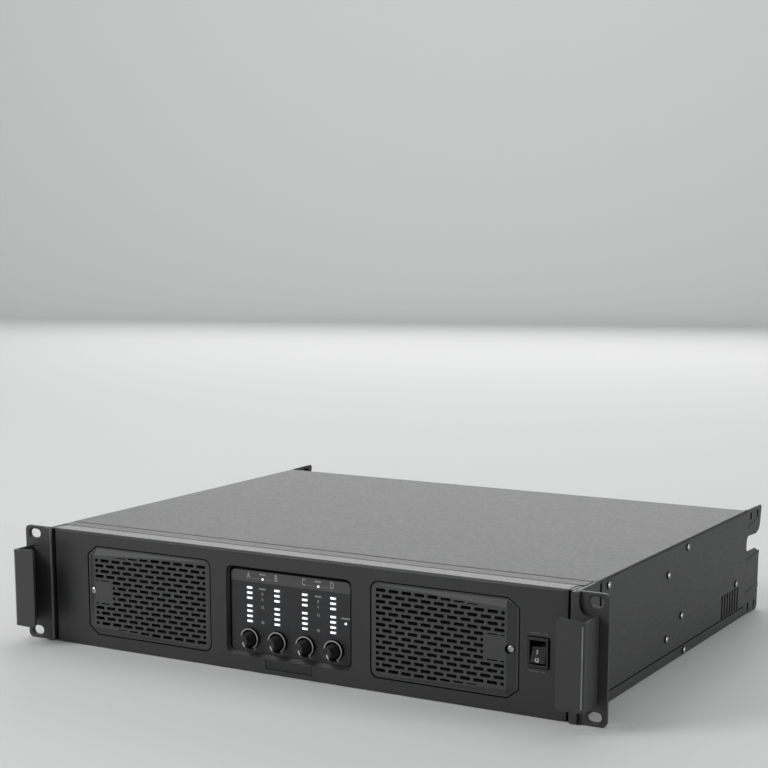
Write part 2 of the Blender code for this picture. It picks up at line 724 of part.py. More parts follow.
def make_power_switch():
    x, z = SWITCH
    half_x, half_z = SWITCH_HALF
    name = "power_switch_housing"
    housing = block(name, around(x, 0.0064), (-0.0008, 0.0190), around(z, 0.0089), "switch_plastic")
    weld(housing, block("switch_bezel", around(x, half_x), (-0.0016, -GAP), around(z, half_z)))
    inner = (ROCKER_HALF[0] + GAP + 0.0001, ROCKER_HALF[1] + 0.0009)
    cut(housing, block("switch_well", around(x, inner[0]), (-0.003, 0.0175), around(z, inner[1])))
    pivot = 0.0030
    face = [(-0.0038, ROCKER_HALF[1]), (-0.0026, 0), (-0.0038, -ROCKER_HALF[1])]
    back = arc((0, 0), 0.0060, -75, 75, 8)
    profile = face + back
    rocker = sheet("power_rocker", [profile], "YZ", around(0, ROCKER_HALF[0]), "switch_plastic")
    tilt = Matrix.Rotation(-ROCKER_TILT, 4, "X") @ Euler(PLANE_TURN["YZ"]).to_matrix().to_4x4()
    rocker.matrix_local = Matrix.Translation((x, pivot, z)) @ tilt


# Inside


def make_fan(side_name, side):
    x = side * FAN_X
    half = FAN_SIZE / 2
    depth = (0.0308, 0.0558)
    housing = block(side_name + "_fan_housing", around(x, half), depth, around(FAN_Z, half), "fan_plastic")
    bore_depth = (depth[0] - 0.001, depth[1] - 0.003)
    cut(housing, rod(side_name + "_fan_bore", (x, 0, FAN_Z), 0.0380, bore_depth, sides=36))
    vents = [arc((x, FAN_Z), 0.0370, start + 8, start + 82, 6) for start in (0, 90, 180, 270)]
    for index, start in enumerate((0, 90, 180, 270)):
        vents[index] += arc((x, FAN_Z), 0.0170, start + 76, start + 14, 4)
    cut(housing, sheet(side_name + "_fan_vents", vents, "XZ", (depth[1] - 0.004, depth[1] + 0.001)))
    rotor = rod(side_name + "_fan_rotor", (x, 0, FAN_Z), 0.0165, (0.0325, 0.0520), finish="fan_plastic")
    blades = []
    for blade in range(7):
        name = side_name + "_blade_" + str(blade)
        shape = block(name, (0.015, 0.0365), (-0.0008, 0.0008), (-0.0100, 0.0100))
        turn = Matrix.Rotation(math.tau * blade / 7, 4, "Y")
        shape.data.transform(Matrix.Translation((0.02575, 0, 0)))
        shape.data.transform(turn @ Matrix.Rotation(math.radians(50), 4, "X"))
        shape.location = (x, 0.0425, FAN_Z)
        blades.append(shape)
    weld(rotor, *blades)


def make_heatsink(side_name, side):
    """A finned extrusion standing on an amplifier board, its fins along the air flow."""
    base = BOARD_Z + BOARD_THICK + GAP
    left, right = 0.085, 0.190
    fins = 10
    pitch = (right - left) / fins
    outline = [(left, base), (right, base)]
    for fin in range(fins):
        edge = right - fin * pitch
        outline += [(edge, 0.0720), (edge - 0.0022, 0.0720), (edge - 0.0022, base + 0.0070)]
        outline += [(edge - pitch, base + 0.0070)] if fin < fins - 1 else [(left, base + 0.0070)]
    sheet(side_name + "_heatsink", [flipped(outline, side)], "XZ", (0.078, 0.240), "aluminium")


def make_boards():
    for name, span in board_spans().items():
        block(name, span, BOARD_Y, (BOARD_Z, BOARD_Z + BOARD_THICK), "circuit_board")
    base = BOARD_Z + BOARD_THICK + GAP
    core = block("mains_transformer", (-0.030, 0.030), (0.225, 0.250), (base, base + 0.052), "component")
    weld(core, block("winding", (-0.019, 0.019), (0.210, 0.265), (base + 0.007, base + 0.045)))
    for number, x in ((1, -0.030), (2, 0.030)):
        name = "reservoir_capacitor_" + str(number)
        rod(name, (x, 0.120, 0), 0.0175, (base, base + 0.050), "Z", "component", sides=24)


# Rear connectors


def make_socket(name, x, flange, radius, bore, depth, finish):
    """A round panel socket: a flange on the rear panel and a barrel with a blind bore behind it."""
    back = REAR_PANEL + SKIN + GAP
    socket = block(name, around(x, flange[0]), (back, back + 0.0022), around(SOCKET_Z, flange[1]), finish)
    centre = (x, 0, SOCKET_Z)
    weld(socket, rod(name + "_barrel", centre, radius, (back - depth, back + 0.0010), sides=24))
    cut(socket, rod(name + "_bore", centre, bore, (back - depth + 0.003, back + 0.004), sides=24))


def make_rear_sockets():
    flange = (0.0130, 0.0155)
    for channel, letter in enumerate(CHANNELS):
        name = "input_socket_" + letter
        make_socket(name, SIGNAL_X[channel], flange, 0.0118, 0.0095, 0.020, "zinc_steel")
        name = "speaker_socket_" + letter
        make_socket(name, SPEAKER_X[channel], flange, 0.0118, 0.0102, 0.026, "socket_plastic")
    make_socket("mains_inlet", INLET_X, (0.0175, 0.0175), 0.0148, 0.0125, 0.030, "socket_plastic")


make_base_tray()
make_top_cover()
make_rear_panel()
make_front_bulkhead()
make_fascia()
make_name_plate()
make_control_panel()
make_power_switch()
make_boards()
make_rear_sockets()
for side_label, side_sign in SIDES:
    make_side_panel(side_label, side_sign)
    make_rack_ear(side_label, side_sign)
    make_handle(side_label, side_sign)
    make_air_cover(side_label, side_sign)
    make_fan(side_label, side_sign)
    make_heatsink(side_label, side_sign)
for channel_index in range(4):
    make_light_guide(channel_index)
    make_gain_control(channel_index)
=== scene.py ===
"""Looks of the two-unit, four-channel power amplifier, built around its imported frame."""

import math

import bmesh
import bpy
from mathutils import Matrix, Vector


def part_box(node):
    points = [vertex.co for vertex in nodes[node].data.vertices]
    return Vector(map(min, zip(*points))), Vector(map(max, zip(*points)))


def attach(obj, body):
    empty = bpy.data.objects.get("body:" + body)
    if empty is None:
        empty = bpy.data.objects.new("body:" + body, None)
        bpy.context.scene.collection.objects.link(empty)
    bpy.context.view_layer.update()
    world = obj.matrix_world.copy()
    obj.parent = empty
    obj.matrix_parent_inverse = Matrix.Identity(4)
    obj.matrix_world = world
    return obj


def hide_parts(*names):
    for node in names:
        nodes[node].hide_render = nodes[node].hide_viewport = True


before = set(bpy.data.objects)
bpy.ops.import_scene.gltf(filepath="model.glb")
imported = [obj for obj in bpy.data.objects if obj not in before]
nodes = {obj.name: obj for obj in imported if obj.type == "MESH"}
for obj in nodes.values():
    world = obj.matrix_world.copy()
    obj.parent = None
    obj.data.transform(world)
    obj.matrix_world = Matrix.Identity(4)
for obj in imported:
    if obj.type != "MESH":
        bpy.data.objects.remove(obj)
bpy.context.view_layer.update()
PANEL_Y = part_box("front_fascia")[0].y  # lengths along y count backwards from this plane


# Stage, light and camera


def aimed(name, data, place, target):
    made = bpy.data.objects.new(name, data)
    bpy.context.scene.collection.objects.link(made)
    made.location = place
    made.rotation_euler = (Vector(target) - Vector(place)).to_track_quat("-Z", "Y").to_euler()
    return made


def softbox(name, place, target, size, power):
    data = bpy.data.lights.new(name, "AREA")
    data.shape = "RECTANGLE"
    data.size, data.size_y = size
    data.energy = power
    return aimed(name, data, place, target)


def make_camera():
    data = bpy.data.cameras.new("camera")
    data.sensor_width = 36
    data.lens = 79.4
    data.shift_x = -0.0143
    data.shift_y = 0.1771
    camera = bpy.data.objects.new("camera", data)
    bpy.context.scene.collection.objects.link(camera)
    camera.location = (0.6370, -1.1537, 0.3258)
    camera.rotation_euler = [math.radians(turn) for turn in (79.680, -0.142, 29.503)]
    bpy.context.scene.camera = camera


FLOOR_REACH = 4.5
SWEEP_RADIUS = 2.5
WALL_TOP = (7.0, 3.2)


def make_stage():
    """A round floor that sweeps up all the way round, like a paper backdrop."""
    sweep = [(0.5 + (FLOOR_REACH - 0.5) * step / 8, 0.0) for step in range(9)]
    for step in range(1, 17):
        angle = math.pi / 32 * step
        sweep.append((FLOOR_REACH + SWEEP_RADIUS * math.sin(angle), SWEEP_RADIUS * (1 - math.cos(angle))))
    sweep.append(WALL_TOP)
    shape = bmesh.new()
    rings = []
    turns = 96
    angles = [math.tau * turn / turns for turn in range(turns)]
    for radius, height in sweep:
        rings.append([shape.verts.new((radius * math.cos(a), radius * math.sin(a), height)) for a in angles])
    shape.faces.new(rings[0])
    for lower, upper in zip(rings, rings[1:]):
        for turn in range(turns):
            after = (turn + 1) % turns
            shape.faces.new([lower[turn], lower[after], upper[after], upper[turn]])
    bmesh.ops.recalc_face_normals(shape, faces=shape.faces)
    bmesh.ops.reverse_faces(shape, faces=[face for face in shape.faces if face.normal.z < 0])
    mesh = bpy.data.meshes.new("floor")
    shape.to_mesh(mesh)
    shape.free()
    mesh.shade_smooth()
    floor = bpy.data.objects.new("floor", mesh)
    floor.location.z = -0.0002
    bpy.context.scene.collection.objects.link(floor)
    material = bpy.data.materials.new("floor_paper")
    material.use_nodes = True
    shader = material.node_tree.nodes["Principled BSDF"]
    shader.inputs["Base Color"].default_value = (0.72, 0.72, 0.71, 1)
    shader.inputs["Roughness"].default_value = 0.75
    mesh.materials.append(material)
    world = bpy.data.worlds.new("studio")
    world.use_nodes = True
    background = world.node_tree.nodes["Background"]
    background.inputs["Color"].default_value = (0.93, 0.96, 1.0, 1)
    background.inputs["Strength"].default_value = 0.32
    bpy.context.scene.world = world


make_camera()
make_stage()
softbox("key", (-1.9, -2.1, 1.5), (0, 0, 0.05), (1.3, 1.1), 47)
softbox("overhead", (0.1, 1.1, 2.5), (0, 0, 0.05), (2.2, 1.6), 13)
softbox("strip", (2.6, 0.30, 0.45), (0, 0, 0.05), (0.30, 0.9), 14)
softbox("rear", (-1.2, 3.0, 1.3), (0, 0, 0.08), (3.4, 1.2), 37)
softbox("crest", (-1.05, -0.75, 2.2), (0, -0.17, 0.09), (0.9, 0.6), 6)
softbox("backdrop", (-1.6, 3.3, 2.9), (-3.5, 6.6, 1.7), (4.0, 0.6), 60)
bpy.context.scene.view_settings.view_transform = "Standard"


# Materials


class Finish:
    """A procedural material with a Principled shader, sized in millimetres over the object's coordinates."""

    def __init__(self, name, colour, roughness, metallic=0.0):
        self.material = bpy.data.materials.new(name)
        self.material.use_nodes = True
        self.tree = self.material.node_tree
        self.shader = self.tree.nodes["Principled BSDF"]
        self.shader.inputs["Base Color"].default_value = (*colour, 1)
        self.shader.inputs["Roughness"].default_value = roughness
        self.shader.inputs["Metallic"].default_value = metallic
        self.place = self.add("ShaderNodeTexCoord").outputs["Object"]
        self.bump = None

    def add(self, kind):
        return self.tree.nodes.new(kind)

    def join(self, output, socket):
        self.tree.links.new(output, socket)

    def noise(self, size_mm, detail=2.0, stretch=None):
        """Noise whose features are about size_mm across; stretch scales it along each axis."""
        place = self.place
        if stretch:
            scaled = self.add("ShaderNodeMapping")
            scaled.inputs["Scale"].default_value = stretch
            self.join(place, scaled.inputs["Vector"])
            place = scaled.outputs["Vector"]
        noise = self.add("ShaderNodeTexNoise")
        noise.inputs["Scale"].default_value = 1000 / size_mm
        noise.inputs["Detail"].default_value = detail
        self.join(place, noise.inputs["Vector"])
        return noise.outputs["Fac"]

    def ranged(self, value, low, high, start=0.3, end=0.7):
        scaled = self.add("ShaderNodeMapRange")
        scaled.inputs["From Min"].default_value = start
        scaled.inputs["From Max"].default_value = end
        scaled.inputs["To Min"].default_value = low
        scaled.inputs["To Max"].default_value = high
        self.join(value, scaled.inputs["Value"])
        return scaled.outputs["Result"]

    def tint(self, value, dark, light, start=0.35, end=0.65):
        """Base colour that runs from dark to light with value."""
        ramp = self.add("ShaderNodeValToRGB")
        ramp.color_ramp.elements[0].position = start
        ramp.color_ramp.elements[0].color = (*dark, 1)
        ramp.color_ramp.elements[1].position = end
        ramp.color_ramp.elements[1].color = (*light, 1)
        self.join(value, ramp.inputs["Fac"])
        self.join(ramp.outputs["Color"], self.shader.inputs["Base Color"])
        return self

    def rough(self, value, low, high):
        self.join(self.ranged(value, low, high), self.shader.inputs["Roughness"])
        return self

    def raised(self, value, height_mm, strength=1.0):
        """Bump on top of any bump added before."""
        bump = self.add("ShaderNodeBump")
        bump.inputs["Distance"].default_value = height_mm / 1000
        bump.inputs["Strength"].default_value = strength
        self.join(value, bump.inputs["Height"])
        if self.bump:
            self.join(self.bump, bump.inputs["Normal"])
        self.bump = bump.outputs["Normal"]
        self.join(self.bump, self.shader.inputs["Normal"])
        return self


def greys(low, high, cool=1.03):
    return (low, low, low * cool), (high, high, high * cool)


def textured_coat(name, low, high, roughness=(0.42, 0.58), grain=0.9, height=0.035):
    """Powder coat or spark-eroded plastic: a fine pimpled surface with faint cloudiness."""
    finish = Finish(name, (high, high, high), sum(roughness) / 2)
    finish.tint(finish.noise(35, 3), *greys(low, high))
    finish.rough(finish.noise(grain * 3, 2), *roughness)
    finish.raised(finish.noise(grain, 2), height)
    finish.raised(finish.noise(grain * 0.35, 1), height * 0.4)
    return finish


COAT = textured_coat("powder_coat_black", 0.033, 0.036, (0.46, 0.54))
FASCIA = textured_coat("fascia_plastic_black", 0.024, 0.028, (0.36, 0.46), 0.6, 0.02)
COVER = textured_coat("cover_plastic_black", 0.042, 0.048, (0.36, 0.46), 0.6, 0.02)


def moulded(name, colour, roughness, metallic=0.0, grain=0.5, height=0.01):
    """A fine grain with slightly uneven colour and gloss."""
    finish = Finish(name + "_finish", colour, roughness, metallic)
    darker = tuple(channel * 0.88 for channel in colour)
    finish.tint(finish.noise(12, 3), darker, colour)
    finish.rough(finish.noise(4, 3), roughness * 0.85, min(1, roughness * 1.15))
    finish.raised(finish.noise(grain, 2), height)
    return finish


def glowing(finish, colour, strength):
    finish.shader.inputs["Emission Color"].default_value = (*colour, 1)
    finish.shader.inputs["Emission Strength"].default_value = strength
    return finish


def printed(name, level, roughness=0.5):
    ink = Finish(name, (level, level, level), roughness)
    ink.tint(ink.noise(0.6, 2), (level * 0.88,) * 3, (level,) * 3)
    ink.raised(ink.noise(0.3, 2), 0.003)
    return ink


PRINT = moulded("panel_print", (0.016, 0.016, 0.018), 0.42, grain=0.4, height=0.006)
SWITCH_BLACK = moulded("switch_plastic", (0.010, 0.010, 0.011), 0.30, grain=0.5, height=0.004)
SOCKET_BLACK = moulded("socket_plastic", (0.012, 0.012, 0.013), 0.36)
NICKEL = moulded("zinc_steel", (0.60, 0.61, 0.62), 0.38, 1.0, grain=6, height=0.004)
SCREW = moulded("screw_steel", (0.55, 0.55, 0.56), 0.32, 1.0)
FINISHES = {  # by material slot
    "powder_coat": COAT,
    "fascia_plastic": FASCIA,
    "panel_print": PRINT,
    "knob_plastic": moulded("knob_plastic", (0.016, 0.016, 0.017), 0.56, grain=0.3, height=0.008),
    "switch_plastic": SWITCH_BLACK,
    "foam": moulded("foam", (0.010, 0.010, 0.010), 0.95, grain=0.8, height=0.6),
    "zinc_steel": NICKEL,
    "screw_steel": SCREW,
    "aluminium": moulded("aluminium", (0.74, 0.74, 0.75), 0.38, 1.0),
    "circuit_board": moulded("circuit_board", (0.020, 0.105, 0.045), 0.42),
    "component": moulded("component", (0.030, 0.031, 0.036), 0.42),
    "fan_plastic": moulded("fan_plastic", (0.014, 0.014, 0.015), 0.42),
    "socket_plastic": SOCKET_BLACK,
    "light_guide": glowing(moulded("light_guide", (0.55, 0.57, 0.60), 0.28), (0.92, 0.96, 1.0), 0.15),
}
# Painted shade: a near-black, almost unreflective colour laid on gaps, grooves, recesses and behind slots
# where there is only shadow; the raised knob collars take it too.
PAINTED_SHADE = moulded("collar_black", (0.003, 0.003, 0.003), 0.8, grain=0.4, height=0.01)
PAINTED_SHADE.shader.inputs["Specular IOR Level"].default_value = 0.08
# Painted highlight: a light grey coat laid on the handle's bend and edge in place of their specular
# highlight.
PAINTED_HIGHLIGHT = moulded("painted_highlight_coat", (0.24, 0.24, 0.245), 0.34, grain=0.6, height=0.01)
LIT = glowing(moulded("lit", (0.9, 0.93, 0.96), 0.3, grain=0.5, height=0.002), (0.97, 0.98, 1.0), 1.1)
BLACK_SCREW = moulded("black_screw", (0.03, 0.03, 0.031), 0.35, 0.6, grain=0.3, height=0.004)
CONTACT = moulded("contact_brass", (0.62, 0.50, 0.30), 0.30, 1.0, grain=1.5, height=0.002)
MAINS_BLUE = moulded("mains_ring", (0.02, 0.06, 0.22), 0.40, grain=0.5, height=0.004)
INK_GREY = printed("print_grey", 0.36)
INK_DIM = printed("print_dim", 0.26)
INK_FAINT = printed("print_faint", 0.075)
HEADER = printed("print_header", 0.065)
WHITE = printed("pointer_white", 0.55, 0.4)


# Shapes. Lengths are metres from the middle of the front panel's plane, as the frame has them


def linked(name, data):
    made = bpy.data.objects.new(name, data)
    bpy.context.scene.collection.objects.link(made)
    made.location.y = PANEL_Y
    return made


def from_shape(name, shape):
    mesh = bpy.data.meshes.new(name)
    bmesh.ops.recalc_face_normals(shape, faces=shape.faces)
    shape.to_mesh(mesh)
    shape.free()
    return linked(name, mesh)


def block(name, x, y, z):
    shape = bmesh.new()
    bmesh.ops.create_cube(shape, size=1.0)
    spans = (x, y, z)
    bmesh.ops.scale(shape, vec=[high - low for low, high in spans], verts=shape.verts)
    bmesh.ops.translate(shape, vec=[(low + high) / 2 for low, high in spans], verts=shape.verts)
    return from_shape(name, shape)


AXIS_TURN = {
    "X": Matrix.Rotation(math.pi / 2, 4, "Y"),
    "Y": Matrix.Rotation(math.pi / 2, 4, "X"),
    "Z": Matrix.Identity(4),
    "-X": Matrix.Rotation(-math.pi / 2, 4, "Y"),
    "-Y": Matrix.Rotation(-math.pi / 2, 4, "X"),
    "-Z": Matrix.Rotation(math.pi, 4, "X"),
}


def lathe(name, profile, centre, axis="Y", sides=48):
    """A body of revolution from (radius, height) points; for Y, height counts towards the front.

    A profile that ends where it starts makes a closed ring, and any other is capped at its ends.
    """
    shape = bmesh.new()
    rings = []
    closed = profile[0] == profile[-1]
    for radius, height in profile[:-1] if closed else profile:
        if radius < 1e-7:
            rings.append([shape.verts.new((0, 0, height))])
            continue
        ring = []
        for side in range(sides):
            turn = math.tau * side / sides
            ring.append(shape.verts.new((radius * math.cos(turn), radius * math.sin(turn), height)))
        rings.append(ring)
    following = rings[1:] + rings[:1] if closed else rings[1:]
    for lower, upper in zip(rings, following):
        for side in range(sides):
            after = (side + 1) % sides
            corners = [lower[side % len(lower)], lower[after % len(lower)]]
            corners += [upper[after % len(upper)], upper[side % len(upper)]]
            distinct = list(dict.fromkeys(corners))
            if len(distinct) > 2:
                shape.faces.new(distinct)
    for ring in (rings[0], rings[-1]):
        if len(ring) > 1 and not closed:
            shape.faces.new(ring)
    bmesh.ops.transform(shape, matrix=Matrix.Translation(centre) @ AXIS_TURN[axis], verts=shape.verts)
    return from_shape(name, shape)


PLANE_MATRIX = {
    "XZ": Matrix.Rotation(math.pi / 2, 4, "X"),
    "YZ": Matrix.Rotation(math.pi / 2, 4, "Z") @ Matrix.Rotation(math.pi / 2, 4, "X"),
    "XY": Matrix.Identity(4),
}
PLANE_NORMAL = {"XZ": Vector((0, 1, 0)), "YZ": Vector((1, 0, 0)), "XY": Vector((0, 0, 1))}


def outline_shape(name, curve):
    """The mesh of a curve or text as a bmesh; the curve itself is removed."""
    outline = bpy.data.objects.new(name + "_outline", curve)
    bpy.context.scene.collection.objects.link(outline)
    mesh = bpy.data.meshes.new_from_object(outline.evaluated_get(bpy.context.evaluated_depsgraph_get()))
    bpy.data.objects.remove(outline)
    bpy.data.curves.remove(curve)
    shape = bmesh.new()
    shape.from_mesh(mesh)
    bpy.data.meshes.remove(mesh)
    return shape


def plate(name, outlines, plane, span, edge=0.0, steps=1):
    """A flat plate with round edges; the outlines inside another are holes."""
    curve = bpy.data.curves.new(name, "CURVE")
    curve.dimensions = "2D"
    curve.fill_mode = "BOTH"
    curve.extrude = (span[1] - span[0]) / 2 - edge
    if edge:
        curve.bevel_depth = edge
        curve.bevel_resolution = steps
        curve.offset = -edge
    for outline in outlines:
        spline = curve.splines.new("POLY")
        spline.points.add(len(outline) - 1)
        for point, (u, v) in zip(spline.points, outline):
            point.co = (u, v, 0, 1)
        spline.use_cyclic_u = True
    shape = outline_shape(name, curve)
    bmesh.ops.remove_doubles(shape, verts=shape.verts, dist=1e-6)
    middle = PLANE_NORMAL[plane] * (sum(span) / 2)
    bmesh.ops.transform(shape, matrix=Matrix.Translation(middle) @ PLANE_MATRIX[plane], verts=shape.verts)
    return from_shape(name, shape)


def arc(centre, radius, start, end, steps=6):
    turns = [math.radians(start + (end - start) * step / steps) for step in range(steps + 1)]
    return [(centre[0] + radius * math.cos(t), centre[1] + radius * math.sin(t)) for t in turns]


def circle(centre, radius, sides=32):
    return arc(centre, radius, 0, 360 - 360 / sides, sides - 1)


def rounded(u, v, radius, steps=4):
    points = []
    corners = ((u[1], v[0], -90), (u[1], v[1], 0), (u[0], v[1], 90), (u[0], v[0], 180))
    for corner_u, corner_v, start in corners:
        centre_u = corner_u - math.copysign(radius, corner_u - sum(u) / 2)
        centre_v = corner_v - math.copysign(radius, corner_v - sum(v) / 2)
        points += arc((centre_u, centre_v), radius, start, start + 90, steps)
    return points


def oval(centre, length, height, steps=8):
    reach = (length - height) / 2
    right = arc((centre[0] + reach, centre[1]), height / 2, -90, 90, steps)
    return right + arc((centre[0] - reach, centre[1]), height / 2, 90, 270, steps)


def around(centre, half):
    return (centre - half, centre + half)


def flipped(outline, side):
    return [(side * u, v) for u, v in outline]


def copied(name, node, flatten=0.5):
    """A copy of a frame part's mesh with its flat areas joined up, to cut and round further."""
    shape = bmesh.new()
    shape.from_mesh(nodes[node].data)
    bmesh.ops.remove_doubles(shape, verts=shape.verts, dist=2e-6)
    bmesh.ops.dissolve_limit(
        shape, angle_limit=math.radians(flatten), verts=shape.verts, edges=shape.edges, delimit=set()
    )
    bmesh.ops.translate(shape, vec=(0, -PANEL_Y, 0), verts=shape.verts)
    return from_shape(name, shape)


def settle(obj):
    """Applies the modifiers."""
    graph = bpy.context.evaluated_depsgraph_get()
    graph.update()
    mesh = bpy.data.meshes.new_from_object(obj.evaluated_get(graph))
    obj.modifiers.clear()
    old = obj.data
    obj.data = mesh
    bpy.data.meshes.remove(old)
    return obj


def cut(obj, *tools):
    """Takes the tools' shapes out of obj, and the tools out of the scene."""
    for tool in tools:
        change = obj.modifiers.new(tool.name, "BOOLEAN")
        change.operation = "DIFFERENCE"
        change.solver = "EXACT"
        change.object = tool
    settle(obj)
    for tool in tools:
        bpy.data.objects.remove(tool)
    return obj


def soften(obj, width, angle=30, steps=2):
    """Rounds the edges that turn by more than angle."""
    change = obj.modifiers.new("edges", "BEVEL")
    change.width = width
    change.segments = steps
    change.limit_method = "ANGLE"
    change.angle_limit = math.radians(angle)
    change.use_clamp_overlap = True
    return settle(obj)


def tidy(obj):
    """Joins up the flat areas that booleans leave split."""
    shape = bmesh.new()
    shape.from_mesh(obj.data)
    bmesh.ops.remove_doubles(shape, verts=shape.verts, dist=2e-6)
    bmesh.ops.dissolve_limit(
        shape, angle_limit=math.radians(0.3), verts=shape.verts, edges=shape.edges, delimit=set()
    )
    shape.to_mesh(obj.data)
    shape.free()
    return obj


def dressed(obj, finish, body, stands_for=(), smooth=30):
    """Gives a piece its material, shading and body."""
    obj.data.materials.clear()
    obj.data.materials.append(finish.material)
    for face in obj.data.polygons:
        face.material_index = 0
    obj.data.shade_smooth()
    obj.data.set_sharp_from_angle(angle=math.radians(smooth))
    weighted = obj.modifiers.new("shading", "WEIGHTED_NORMAL")
    weighted.keep_sharp = True
    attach(obj, body)
    if stands_for:
        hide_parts(*stands_for)
    return obj


def cross_screw(name, centre, axis, radius, height, shank, turn=20):
    """A pan-head screw with a cross recess, its head standing out along axis from centre."""
    profile = [(0, -shank), (radius * 0.48, -shank), (radius * 0.52, -0.0003), (radius * 0.97, 0)]
    profile += [(radius, height * 0.25)]
    profile += [(radius * math.cos(a), height * (0.25 + 0.75 * math.sin(a))) for a in (0.35, 0.7, 1.05, 1.35)]
    profile.append((0, height))
    head = lathe(name, profile, (0, 0, 0), "Z", 28)
    arms = []
    for quarter in (0, 90):
        across = around(0, radius * 0.13)
        arm = block("arm_" + str(quarter), around(0, radius * 0.56), across, around(0, height * 0.6))
        for corner in arm.data.vertices:
            if corner.co.z < 0:
                corner.co.x *= 0.55
                corner.co.y *= 0.75
        lift = Matrix.Translation((0, 0, height * 1.02))
        arm.data.transform(lift @ Matrix.Rotation(math.radians(quarter + turn), 4, "Z"))
        arms.append(arm)
    cut(head, *arms)
    head.data.transform(Matrix.Translation(centre) @ AXIS_TURN[axis])
    return head


SIDES = (("left", -1), ("right", 1))


# Air covers

LAYOUT_SHIFT = -0.001
COVER_INNER = 0.0677
COVER_LENGTH = 0.1115
COVER_Z = (0.0105, 0.0774)
WEDGE_RISE = 0.0032
WEDGE_LENGTH = 0.1043
WEDGE_END_Z = (0.0167, 0.0718)
SLOT_PITCH = (0.01017, 0.00402)
SLOT_SIZE = (0.00785, 0.0024)
SLOT_ROWS = 15
SLOT_FIELD = (0.0036, 0.1029)
BADGE_FIELD = ((0.0872, 0.1043), (0.0357, 0.0524))
COVER_SCREW = (0.1062, 0.0440)


def cover_edge(side):
    return LAYOUT_SHIFT + side * COVER_INNER


def slot_spans():
    """The u and z span of each air slot, from the cover's inner edge outwards."""
    spans = []
    top_row = (sum(COVER_Z) + (SLOT_ROWS - 1) * SLOT_PITCH[1]) / 2
    for row in range(SLOT_ROWS):
        middle = top_row - row * SLOT_PITCH[1]
        start = SLOT_FIELD[0] - (row % 2) * SLOT_PITCH[0] / 2
        while start < SLOT_FIELD[1]:
            low = max(start, SLOT_FIELD[0])
            high = min(start + SLOT_SIZE[0], SLOT_FIELD[1])
            start += SLOT_PITCH[0]
            margin = 0.0013 + (COVER_Z[1] - WEDGE_END_Z[1]) * high / WEDGE_LENGTH
            bottom = max(middle - SLOT_SIZE[1] / 2, COVER_Z[0] + margin)
            top = min(middle + SLOT_SIZE[1] / 2, COVER_Z[1] - margin)
            if low < BADGE_FIELD[0][0] and BADGE_FIELD[1][0] < middle < BADGE_FIELD[1][1]:
                high = min(high, BADGE_FIELD[0][0])
            elif BADGE_FIELD[1][0] < middle < BADGE_FIELD[1][1]:
                if bottom < BADGE_FIELD[1][0]:
                    top = BADGE_FIELD[1][0]
                elif top > BADGE_FIELD[1][1]:
                    bottom = BADGE_FIELD[1][1]
                else:
                    continue
            if high - low > 0.0012 and top - bottom > 0.0006:
                spans.append(((low, high), (bottom, top)))
    return spans


def cover_ring(inset):
    """The cover's outline, smaller by inset, as (u, z) with each point's place on the sloping face."""
    low, high = COVER_Z[0] + inset, COVER_Z[1] - inset
    radius = 0.0055 - inset * 0.6
    outline = arc((inset + radius, high - radius), radius, 90, 180, 6)
    outline += arc((inset + radius, low + radius), radius, 180, 270, 6)
    face = list(outline)
    corner = 0.41 * inset
    outer = COVER_LENGTH - inset
    outline += [(0.1035 - corner, low), (outer, 0.0167 + corner)]
    face += [(WEDGE_LENGTH, WEDGE_END_Z[0])] * 2
    outline += [(outer, 0.0712 - corner), (0.1035 - corner, high)]
    face += [(WEDGE_LENGTH, WEDGE_END_Z[1])] * 2
    return outline, face


def face_depth(u):
    return -WEDGE_RISE * u / WEDGE_LENGTH


def cover_body(name, side, inset, depth):
    """The cover's outer shape, or its hollow: a rim, and walls that slope up to a tilted face."""
    foot_inset = inset + 0.0013
    rim, _ = cover_ring(inset)
    foot, face = cover_ring(foot_inset)
    shape = bmesh.new()
    rings = [[shape.verts.new((side * u, depth[1], z)) for u, z in rim]]
    rings.append([shape.verts.new((side * u, depth[0], z)) for u, z in rim])
    rings.append([shape.verts.new((side * u, depth[0] - 0.0001, z)) for u, z in foot])
    shrink = inset * 0.75
    middle = sum(WEDGE_END_Z) / 2
    top = []
    for (u, z), (foot_u, foot_z) in zip(face, foot):
        if u > COVER_LENGTH / 2:
            z -= math.copysign(shrink, z - middle)
            u -= shrink
        top.append(shape.verts.new((side * u, depth[0] - 0.0002 + face_depth(u), z)))
    rings.append(top)
    count = len(rim)
    for lower, upper in zip(rings, rings[1:]):
        for index in range(count):
            after = (index + 1) % count
            shape.faces.new([lower[index], lower[after], upper[after], upper[index]])
    shape.faces.new(rings[0])
    shape.faces.new(rings[-1])
    bmesh.ops.remove_doubles(shape, verts=shape.verts, dist=1e-5)
    made = from_shape(name, shape)
    made.location.x = cover_edge(side)
    return made


def on_cover(obj, side):
    obj.location.x = cover_edge(side)
    return obj


